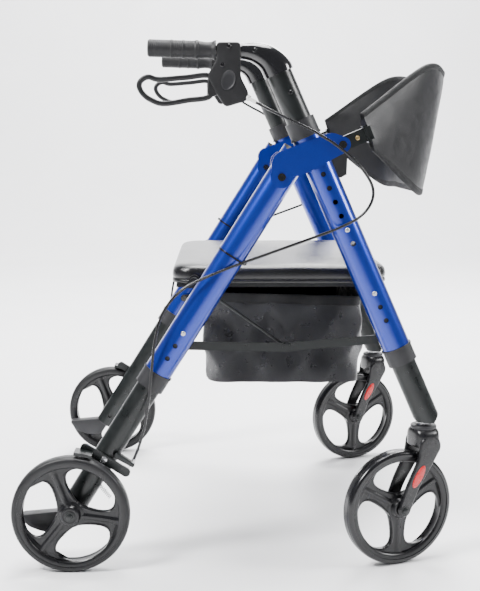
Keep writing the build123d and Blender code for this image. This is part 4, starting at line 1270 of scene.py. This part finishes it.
@dataclass
class BackrestBand:
    """Curved padded band with bound edges, given by its lower and upper lines from one arm to the other."""

    leg_y: float
    arm_end: Array
    front: float
    thickness: float = 0.0066
    edge_radius: float = 0.0034
    per_run: int = 18

    def stations(self) -> tuple[Array, Array]:
        """Lower and upper lines of the band as smooth curves over seven stations.

        Returns:
            Lower points and upper points.
        """
        x, y, z = self.arm_end
        low = [(x + 0.003, y - 0.004, z - 0.030), (self.front - 0.073, y - 0.089, 0.634),
               (self.front - 0.046, y - 0.186, 0.627), (self.front - 0.037, 0.0, 0.625)]
        high = [(x - 0.017, y - 0.004, z + 0.030), (self.front - 0.060, y - 0.089, 0.850),
                (self.front - 0.009, y - 0.186, 0.846), (self.front, 0.0, 0.846)]
        mirror = np.array([1, -1, 1])
        low_all = np.array(low + [tuple(np.array(p) * mirror) for p in low[-2::-1]])
        high_all = np.array(high + [tuple(np.array(p) * mirror) for p in high[-2::-1]])
        return smooth_curve(low_all, self.per_run), smooth_curve(high_all, self.per_run)

    def facing(self, low: Array, high: Array) -> Array:
        """Outward direction at each station, level and at a right angle to the band's run."""
        run = np.gradient((low + high) / 2, axis=0)
        out = np.stack([-run[:, 1], run[:, 0], np.zeros(len(run))], -1)
        return out / np.linalg.norm(out, axis=1, keepdims=True)

    def band(self) -> bpy.types.Object:
        """Skin the band: a flat superellipse at each station between its lines, with soft upright creases.

        Puff = depth * cos(pi v / 2) * (sines of the distance along), v from -1 at the lower edge to 1.

        Returns:
            The band.
        """
        low, high = self.stations()
        out = self.facing(low, high)
        section = oval(64, 1.0, 1.0, 2.6)
        middle, reach = (low + high) / 2, (high - low) / 2
        across = section[:, 0]
        run = np.cumsum(np.concatenate([[0], np.linalg.norm(np.diff(middle, axis=0), axis=1)]))[:, None]
        creases = np.sin(48 * run + 2.1 * across) + 0.6 * np.sin(83 * run - 1.3 * across + 1.0)
        puff = 0.0011 * np.cos(np.pi * across / 2) * creases
        depth = self.thickness * section[None, :, 1] + puff
        rings = middle[:, None] + across[None, :, None] * reach[:, None] + depth[..., None] * out[:, None]
        return skin("backrest_band", rings, BAND_COVER, crease=70)

    def binding(self) -> list[bpy.types.Object]:
        """Fold a narrow tape over each long edge."""
        made = []
        low, high = self.stations()
        out = self.facing(low, high)
        for word, line, other in (("lower", low, high), ("upper", high, low)):
            inward = other - line
            inward /= np.linalg.norm(inward, axis=1, keepdims=True)
            section = oval(16, 0.0065, self.edge_radius + 0.0012, 3.0)
            centre = line + inward * 0.0058
            rings = centre[:, None] + section[None, :, :1] * inward[:, None]
            rings = rings + section[None, :, 1:] * out[:, None]
            made.append(skin(f"backrest_{word}_binding", rings, BINDING, crease=80))
        return made

    def build(self) -> None:
        """Make the band and let it ride on the backrest."""
        band = self.band()
        seat_on(band, "backrest", "band_cover", "backrest_pad")
        for piece in self.binding():
            seat_on(piece, "backrest", "band_cover")


@dataclass
class CarryBag:
    """Open nylon bag hung between the cross tubes: folded walls, a bound rim and loops of strap."""

    rear: float
    front: float
    half_width: float
    bottom: float
    top: float
    front_tube: Array
    rear_tube: Array
    taper: float = 0.003
    corner: float = 0.03
    cloth: float = 0.0012
    tape_half: tuple[float, float] = (0.0021, 0.009)
    loops_at: tuple[float, ...] = (-0.092, 0.0, 0.092)

    def outline(self, inset: float) -> Array:
        """Level outline of the bag at this inset, round from the front left corner."""
        ring = rounded_box((self.front - self.rear) / 2 - inset, self.half_width - inset, self.corner)
        return ring + np.array([(self.front + self.rear) / 2, 0])

    @staticmethod
    def ridges(angle: Array) -> Array:
        """Row of narrow ridges between wide hollows, from about -1 to 1: 1 - 2 sqrt(sin ** 2 + 0.07)."""
        return 1 - 2 * np.sqrt(np.sin(angle) ** 2 + 0.07)

    def walls(self) -> bpy.types.Object:
        """Skin the cloth from the rim down and across the bottom.

        Each wall bows out by b * sin(pi h), and the cloth's folds are ridges over the way round u that drift
        with the share of the height h: ridges(9u + 3.4h) + 0.6 ridges(11u - 5.2h) and a wide sine.

        Returns:
            The bag's cloth.
        """
        height = np.linspace(1, 0, 60)
        rings = []
        first = self.outline(0)
        step = np.linalg.norm(first - np.roll(first, 1, 0), axis=1)
        round_way = 2 * np.pi * np.cumsum(step) / step.sum()
        for h in height:
            inset = self.taper * (1 - h) - 0.004 * math.sin(math.pi * h)
            ring = self.outline(inset)
            fold = self.ridges(9 * round_way + 3.4 * h + 0.5)
            fold += 0.6 * self.ridges(11 * round_way - 5.2 * h + 1.1)
            fold += 0.6 * np.sin(5 * round_way + 9 * h)
            strength = 0.0058 * math.sin(math.pi * min(1.0, 0.08 + 0.84 * h)) + 0.0012
            centre = np.array([(self.front + self.rear) / 2, 0])
            away = ring - centre
            away /= np.linalg.norm(away, axis=1, keepdims=True)
            ring = ring + strength * fold[:, None] * away
            sag = 0.004 * np.cos(2 * round_way) * h
            level = self.bottom + (self.top - self.bottom) * h + sag
            rings.append(np.concatenate([ring, level[:, None]], 1))
        base = rings[-1]
        centre = base.mean(0)
        for share in (0.985, 0.95, 0.8, 0.6, 0.4, 0.2, 0.02):
            ring = centre + (base - centre) * share
            ring[:, 2] = self.bottom - 0.004 * (1 - share ** 2)
            rings.append(ring)
        rings = np.array(rings)
        stations, around = rings.shape[:2]
        faces = quads(stations, around, False, True).tolist()
        faces.append(list(range((stations - 1) * around, stations * around)))
        cloth = put_mesh("bag_cloth", rings.reshape(-1, 3), faces, BAG_NYLON, crease=80)
        wall = cloth.modifiers.new("cloth", "SOLIDIFY")
        wall.thickness = self.cloth
        wall.offset = -1
        self.rim_line = rings[0]
        return cloth

    def rim(self) -> bpy.types.Object:
        """Bind the rim with a flat tape."""
        return closed_bar("bag_rim", self.rim_line, oval(12, *self.tape_half, 3.0), UPWARDS, BINDING, 80)

    def loop(self, number: int, y: float, tube: Array, wall_x: float) -> bpy.types.Object:
        """Strap loop from the wall over a cross tube: a flat section along a line half round the tube."""
        inward = 1 if wall_x > tube[0] else -1
        turn = np.linspace(math.radians(-50), math.radians(75), 12)
        radius = 0.0132
        arc = np.stack([tube[0] + inward * radius * np.cos(turn), tube[2] + radius * np.sin(turn)], -1)
        start = np.array([[wall_x + inward * 0.0005, self.top - 0.018],
                          [wall_x + inward * 0.0005, self.top - 0.006]])
        line = np.concatenate([start, arc])
        path = np.stack([line[:, 0], np.full(len(line), y), line[:, 1]], -1)
        rings = swept(path, oval(12, 0.0009, 0.013, 4.0))
        return skin(f"bag_loop_{number}", rings, BINDING, crease=60)

    def build(self) -> None:
        """Make the bag and let it ride on the front frame."""
        cloth = self.walls()
        pieces = [seat_on(cloth, "front_frame", "nylon", "bag"), seat_on(self.rim(), "front_frame", "nylon")]
        for number, y in enumerate(self.loops_at):
            pieces.append(seat_on(self.loop(number + 1, y, self.front_tube, self.front), "front_frame",
                                  "nylon"))
            pieces.append(seat_on(self.loop(number + 4, y, self.rear_tube, self.rear), "front_frame",
                                  "nylon"))
        for piece in pieces:
            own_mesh(piece)


# ---------------------------------------------------------------- cables and rear brakes
@dataclass
class BrakeCable:
    """One brake cable: a smooth line from adjuster to stop, in three stretches."""

    side: Side
    start: Array
    start_heading: Array
    end: Array
    end_heading: Array
    lift: Array
    radius: float = 0.0024
    # given points of the right side's route: x, distance from the middle plane, z
    route: tuple = ((76, 349, 758), (118, 354, 738), (160, 355, 713), (199, 355, 678), (221, 353, 640),
                    (205, 350, 603), (162, 347, 580), (112, 344, 562), (60, 342, 543), (18, 340.5, 528),
                    (-12, 339, 517), (-52, 338.5, 501), (-98, 338, 480), (-131, 338.5, 440),
                    (-144, 340.5, 385), (-149, 341, 330), (-154, 341, 286), (-161, 339, 246))

    def control_points(self) -> Array:
        """Control points from the adjuster to the stop; the first few rise with a raised handle."""
        points = np.array(self.route, float) * MM * (1, self.side.value, 1)
        points += self.lift * np.clip(1 - np.arange(len(points)) / 3, 0, 1)[:, None]
        first = [self.start, self.start + self.start_heading * 0.022]
        last = [self.end + self.end_heading * 0.0255, self.end]
        return np.concatenate([first, points, last])

    def line(self) -> Array:
        """Points read from the route's NURBS curve."""
        points = self.control_points()
        curve = bpy.data.curves.new("cable_line", "CURVE")
        curve.dimensions = "3D"
        spline = curve.splines.new("NURBS")
        spline.points.add(len(points) - 1)
        spline.points.foreach_set("co", np.concatenate([points, np.ones((len(points), 1))], 1).ravel())
        spline.order_u = 3
        spline.use_endpoint_u = True
        curve.resolution_u = 12
        holder = bpy.data.objects.new("cable_line", curve)
        bpy.context.scene.collection.objects.link(holder)
        mesh = bpy.data.meshes.new_from_object(holder)
        found = np.zeros(len(mesh.vertices) * 3)
        mesh.vertices.foreach_get("co", found)
        bpy.data.objects.remove(holder)
        return found.reshape(-1, 3)

    def tube(self, name: str, path: Array) -> bpy.types.Object:
        """Round tube along points: its sides are the level directions across the path."""
        heading = np.gradient(path, axis=0)
        heading /= np.linalg.norm(heading, axis=1, keepdims=True)
        across = np.cross(heading, np.cross(np.broadcast_to((0, 1.0, 0), heading.shape), heading))
        across /= np.linalg.norm(across, axis=1, keepdims=True)
        third = np.cross(heading, across)
        section = oval(16, self.radius, self.radius)
        rings = path[:, None] + section[None, :, :1] * across[:, None] + section[None, :, 1:] * third[:, None]
        return skin(name, rings, CABLE_JACKET, crease=80)

    def build(self) -> None:
        """Make the three stretches where they lie at rest."""
        label = self.side.label
        line = self.line()
        lower_loop = int(np.argmin(np.linalg.norm(line - self.spot(6), axis=1)))
        tie = int(np.argmin(np.linalg.norm(line - (self.spot(9) + self.spot(10)) / 2, axis=1)))
        stretches = (("upper", 0, lower_loop, f"{label}_handle", "front_frame", self.start, self.spot(6)),
                     ("middle", lower_loop, tie, "front_frame", "rear_frame", self.spot(6), self.spot(9)),
                     ("lower", tie, len(line) - 1, "rear_frame", f"{label}_rear_slider", self.spot(12),
                      self.spot(16)))
        for word, first, last, upper_body, lower_body, start, end in stretches:
            piece = self.tube(f"{label}_cable_{word}", line[first:last + 1])
            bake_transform(piece)
            if word == "upper":
                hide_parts(f"{label}_brake_cable")

    def spot(self, number: int) -> Array:
        """A route point in the frame's axes."""
        return np.array(self.route[number], float) * MM * (1, self.side.value, 1)


@dataclass
class RearFittings:
    """What is fixed to the foot of a rear leg: pedal, plug, bolt, rocker screw, cable stop and spring."""

    side: Side
    axle: Array
    rocker: Array
    down: Array
    leg_y: float
    tube_radius: float = 0.021
    end_past_axle: float = 0.022
    pedal_corners: tuple = ((-0.094, -0.014), (-0.050, -0.0105), (-0.020, -0.008), (-0.010, -0.022),
                            (-0.020, -0.044), (-0.052, -0.046), (-0.080, -0.035))

    @property
    def place(self) -> Axes:
        """Upright axes at the axle, in the middle plane of the leg."""
        origin = np.array([self.axle[0], self.side.value * self.leg_y, self.axle[2]])
        return Axes(origin, np.array([1.0, 0, 0]), np.array([0, self.side.value, 0.0]), np.array([0, 0, 1.0]))

    def pedal(self) -> bpy.types.Object:
        """Tipping pedal behind the leg's foot."""
        outline = rounded_corners(np.array(self.pedal_corners), 0.009)
        return rounded_plate(f"{self.side.label}_pedal", self.place, outline, -0.011, 0.011, 0.0025,
                             MOULDED_PLASTIC)

    def plug(self) -> bpy.types.Object:
        """Turn the plug in the tube's lower end."""
        place = axes(self.place.origin, self.down)
        start = self.end_past_axle
        profile = [(start - 0.002, 0), (start - 0.002, 0.0205), (start, 0.021), (start + 0.0018, 0.0208),
                   (start + 0.0028, 0.0195), (start + 0.003, 0)]
        return turned(f"{self.side.label}_leg_plug", place, profile, MOULDED_PLASTIC, around=48)

    def axle_end(self) -> bpy.types.Object:
        """Turn the domed axle bolt that shows in the wheel's hub."""
        place = Axes(self.axle, np.array([0, self.side.value, 0.0]), self.place.along, self.place.up)
        profile = [(-0.060, 0.0), (-0.060, 0.005), (0.0172, 0.005), (0.0172, 0.0085), (0.0185, 0.0085),
                   (0.0187, 0.0058), (0.0205, 0.0054), (0.0216, 0.0038), (0.0219, 0.0)]
        return turned(f"{self.side.label}_axle_bolt", place, profile, BLACK_PAINT, around=32)

    def rocker_screw(self) -> bpy.types.Object:
        """Turn the screw that the brake rocker turns on."""
        spot = np.array([self.rocker[0], self.side.value * self.leg_y, self.rocker[2]])
        place = Axes(spot, np.array([0, self.side.value, 0.0]), self.place.along, self.place.up)
        start = self.tube_radius + 0.0064
        profile = [(0.014, 0.0), (0.014, 0.003), (start, 0.003), (start, 0.0056), (start + 0.001, 0.0054),
                   (start + 0.002, 0.004), (start + 0.0021, 0.0)]
        return turned(f"{self.side.label}_rocker_screw", place, profile, STEEL, around=28)

    def leg_spot(self, back_up: float, forward: float, out: float) -> Array:
        """A point this far up the leg from the rocker's screw, forwards of it and out from its middle."""
        level = np.array([-self.down[2], 0, self.down[0]])
        spot = np.array([self.rocker[0], self.side.value * (self.leg_y + out), self.rocker[2]])
        return spot - self.down * back_up + level * forward

    def stop(self) -> list[bpy.types.Object]:
        """Bracket that holds the cable's lower sleeve, and the sleeve."""
        root, tip = self.leg_spot(0.016, 0.016, 0.0), self.leg_spot(0.016, 0.046, 0.0)
        path = np.array([root, (root + tip) / 2, tip])
        line = np.stack([path[:, 0] - self.place.origin[0], path[:, 2] - self.place.origin[2]], -1)
        outline = strap_outline(line, np.array([0.005, 0.0042, 0.0036]))
        bracket = rounded_plate(f"{self.side.label}_cable_bracket", self.place, outline, 0.0135, 0.0255,
                                0.001, BLACK_PAINT)
        place = axes(self.leg_spot(0.016, 0.044, self.tube_radius), (0.45, 0, 0.89), up=(0, 1, 0))
        profile = [(-0.004, 0), (-0.004, 0.0034), (0.0085, 0.0034), (0.010, 0.0029), (0.010, 0)]
        sleeve = turned(f"{self.side.label}_cable_sleeve", place, profile, STEEL, around=24)
        return [bracket, sleeve]

    def wire_ends(self) -> tuple[Array, Array]:
        """Top and bottom ends of the bare wire."""
        top = self.leg_spot(0.016, 0.044, self.tube_radius)
        return top, self.leg_spot(0.0, 0.0425, self.tube_radius + 0.004)

    def wire(self) -> bpy.types.Object:
        """Thin bare wire from the sleeve down to the rocker's front end."""
        top, low = self.wire_ends()
        share = np.linspace(0, 1, 8)[:, None]
        return skin(f"{self.side.label}_brake_wire",
                    swept(top * (1 - share) + low * share, oval(8, 0.0008, 0.0008)), STEEL, crease=80)

    def spring(self) -> bpy.types.Object:
        """Return spring beside the leg, a helix: axis + r (cos 2 pi n t, sin 2 pi n t) with n = 8 turns."""
        top, bottom = self.leg_spot(-0.049, 0.0195, 0.008), self.leg_spot(-0.0565, 0.045, 0.012)
        place = axes(top, bottom - top, up=(0, 1, 0))
        t = np.linspace(0, 1, 8 * 16 + 1)
        length = np.linalg.norm(bottom - top)
        swing = 2 * np.pi * 8 * t
        path = place.point(t * length, 0.0034 * np.cos(swing), 0.0034 * np.sin(swing))
        heading = np.gradient(path, axis=0)
        heading /= np.linalg.norm(heading, axis=1, keepdims=True)
        across = np.cross(heading, place.along)
        across /= np.linalg.norm(across, axis=1, keepdims=True)
        third = np.cross(heading, across)
        section = oval(6, 0.0006, 0.0006)
        rings = path[:, None] + section[None, :, :1] * across[:, None] + section[None, :, 1:] * third[:, None]
        return skin(f"{self.side.label}_brake_spring", rings, STEEL, crease=80)

    def build(self) -> None:
        """Make the fittings; all but the bare wire ride on the rear slider."""
        body = f"{self.side.label}_rear_slider"
        seat_on(self.pedal(), body, "dark_plastic", f"{self.side.label}_rear_fittings")
        for piece in [self.plug(), self.axle_end(), *self.stop()]:
            seat_on(piece, body, "dark_plastic")
        seat_on(self.rocker_screw(), body, "steel")
        seat_on(self.spring(), body, "steel")
        wire = self.wire()
        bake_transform(wire)


# ---------------------------------------------------------------- the whole walker
@dataclass
class Walker:
    """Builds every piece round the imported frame."""

    frame: dict
    bar_from_pivot: tuple[float, float] = (0.0305, 0.0228)

    def wheels(self, plan: Plan, side: Side) -> None:
        """Make one side's front and rear wheels and its fork."""
        label = side.label
        up = np.array([0, 0, 1.0])
        outward = np.array([0, side.value, 0.0])
        rear = Axes(plan.at(f"{label}_rear_wheel_spin"), outward, np.array([1.0, 0, 0]), up)
        SpokedWheel(f"{label}_rear", f"{label}_rear_roller", rear, 111, REAR_TYRE, -0.020, 0.017).build()
        axle = plan.along(f"{label}_front_wheel_spin")
        axle = axle * np.sign(axle[1]) * side.value
        heading = np.cross(axle, up) * side.value
        heading = heading * np.sign(heading[0])
        front = Axes(plan.at(f"{label}_front_wheel_spin"), axle, heading, up)
        SpokedWheel(f"{label}_front", f"{label}_front_roller", front, -90, FRONT_TYRE, -0.0186,
                    0.0186).build()
        stem = plan.at(f"{label}_caster_swivel") * (1, 1, 0)
        CasterFork(side, Axes(stem, heading, axle, up)).build()

    def handle(self, plan: Plan, side: Side) -> None:
        """Make one side's handle and its cable."""
        label = side.label
        pivot = plan.at(f"{label}_lever_pull")
        bar_front = pivot + np.array([self.bar_from_pivot[0], 0, self.bar_from_pivot[1]])
        handle = BrakeHandle(side, bar_front)
        handle.build()
        other = plan.at("right_lever_pull")
        lift = (pivot - other) * (1, 0, 1)
        heading = handle.barrel_line
        heading /= np.linalg.norm(heading)
        x, out, z = handle.barrel_start
        barrel_end = handle.place.point(x, out, z) + heading * 0.0165
        fittings = self.fittings(plan, side)
        up_cable = np.array([0.45, 0, 0.89]) / np.linalg.norm([0.45, 0, 0.89])
        stop = fittings.leg_spot(0.016, 0.044, fittings.tube_radius)
        BrakeCable(side, barrel_end, heading, stop - up_cable * 0.0015, up_cable, lift).build()

    def fittings(self, plan: Plan, side: Side) -> RearFittings:
        """One side's rear fittings."""
        label = side.label
        leg_y = abs(float(plan.at(f"{label}_caster_swivel")[1]))
        return RearFittings(side, plan.at(f"{label}_rear_wheel_spin"), plan.at(f"{label}_rocker_turn"),
                            plan.along(f"{label}_rear_leg_length"), leg_y)

    def soft_goods(self, plan: Plan) -> None:
        """Make the seat, the backrest and the bag."""
        low, high = (np.array(corner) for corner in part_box("seat_pad"))
        PaddedSeat(low, high).build()
        low, high = (np.array(corner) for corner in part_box("seat_cross_tube"))
        front_tube = (low + high) / 2
        low, high = (np.array(corner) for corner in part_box("rear_cross_tube"))
        rear_tube = (low + high) / 2
        bag_low, bag_high = (np.array(corner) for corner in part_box("bag"))
        CarryBag(rear_tube[0] + 0.0115, front_tube[0] - 0.012, bag_high[1] - 0.004, bag_low[2] + 0.005, 0.445,
                 front_tube, rear_tube).build()
        flip = plan.at("backrest_flip")
        lean = math.radians(22.5)
        arm_end = flip + 0.054 * np.array([math.cos(lean), 0, math.sin(lean)])
        arm_end[1] = abs(float(plan.at("right_caster_swivel")[1]))
        front = -plan.at("right_rear_wheel_spin")[0] + 0.1 - 0.0065
        BackrestBand(arm_end[1], arm_end, float(front)).build()

    def build(self) -> None:
        """Build the whole walker."""
        plan = Plan({joint["name"]: joint for joint in self.frame["joints"]})
        FrameMetal(self.frame["nodes"]).build()
        for side in Side:
            self.wheels(plan, side)
            self.handle(plan, side)
            self.fittings(plan, side).build()
        self.soft_goods(plan)


def main() -> None:
    """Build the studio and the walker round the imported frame."""
    logging.basicConfig(level=logging.INFO, format="%(name)s: %(message)s")
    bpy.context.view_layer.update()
    Studio().build()
    Walker(frame).build()


if __name__ == "__main__":
    main()
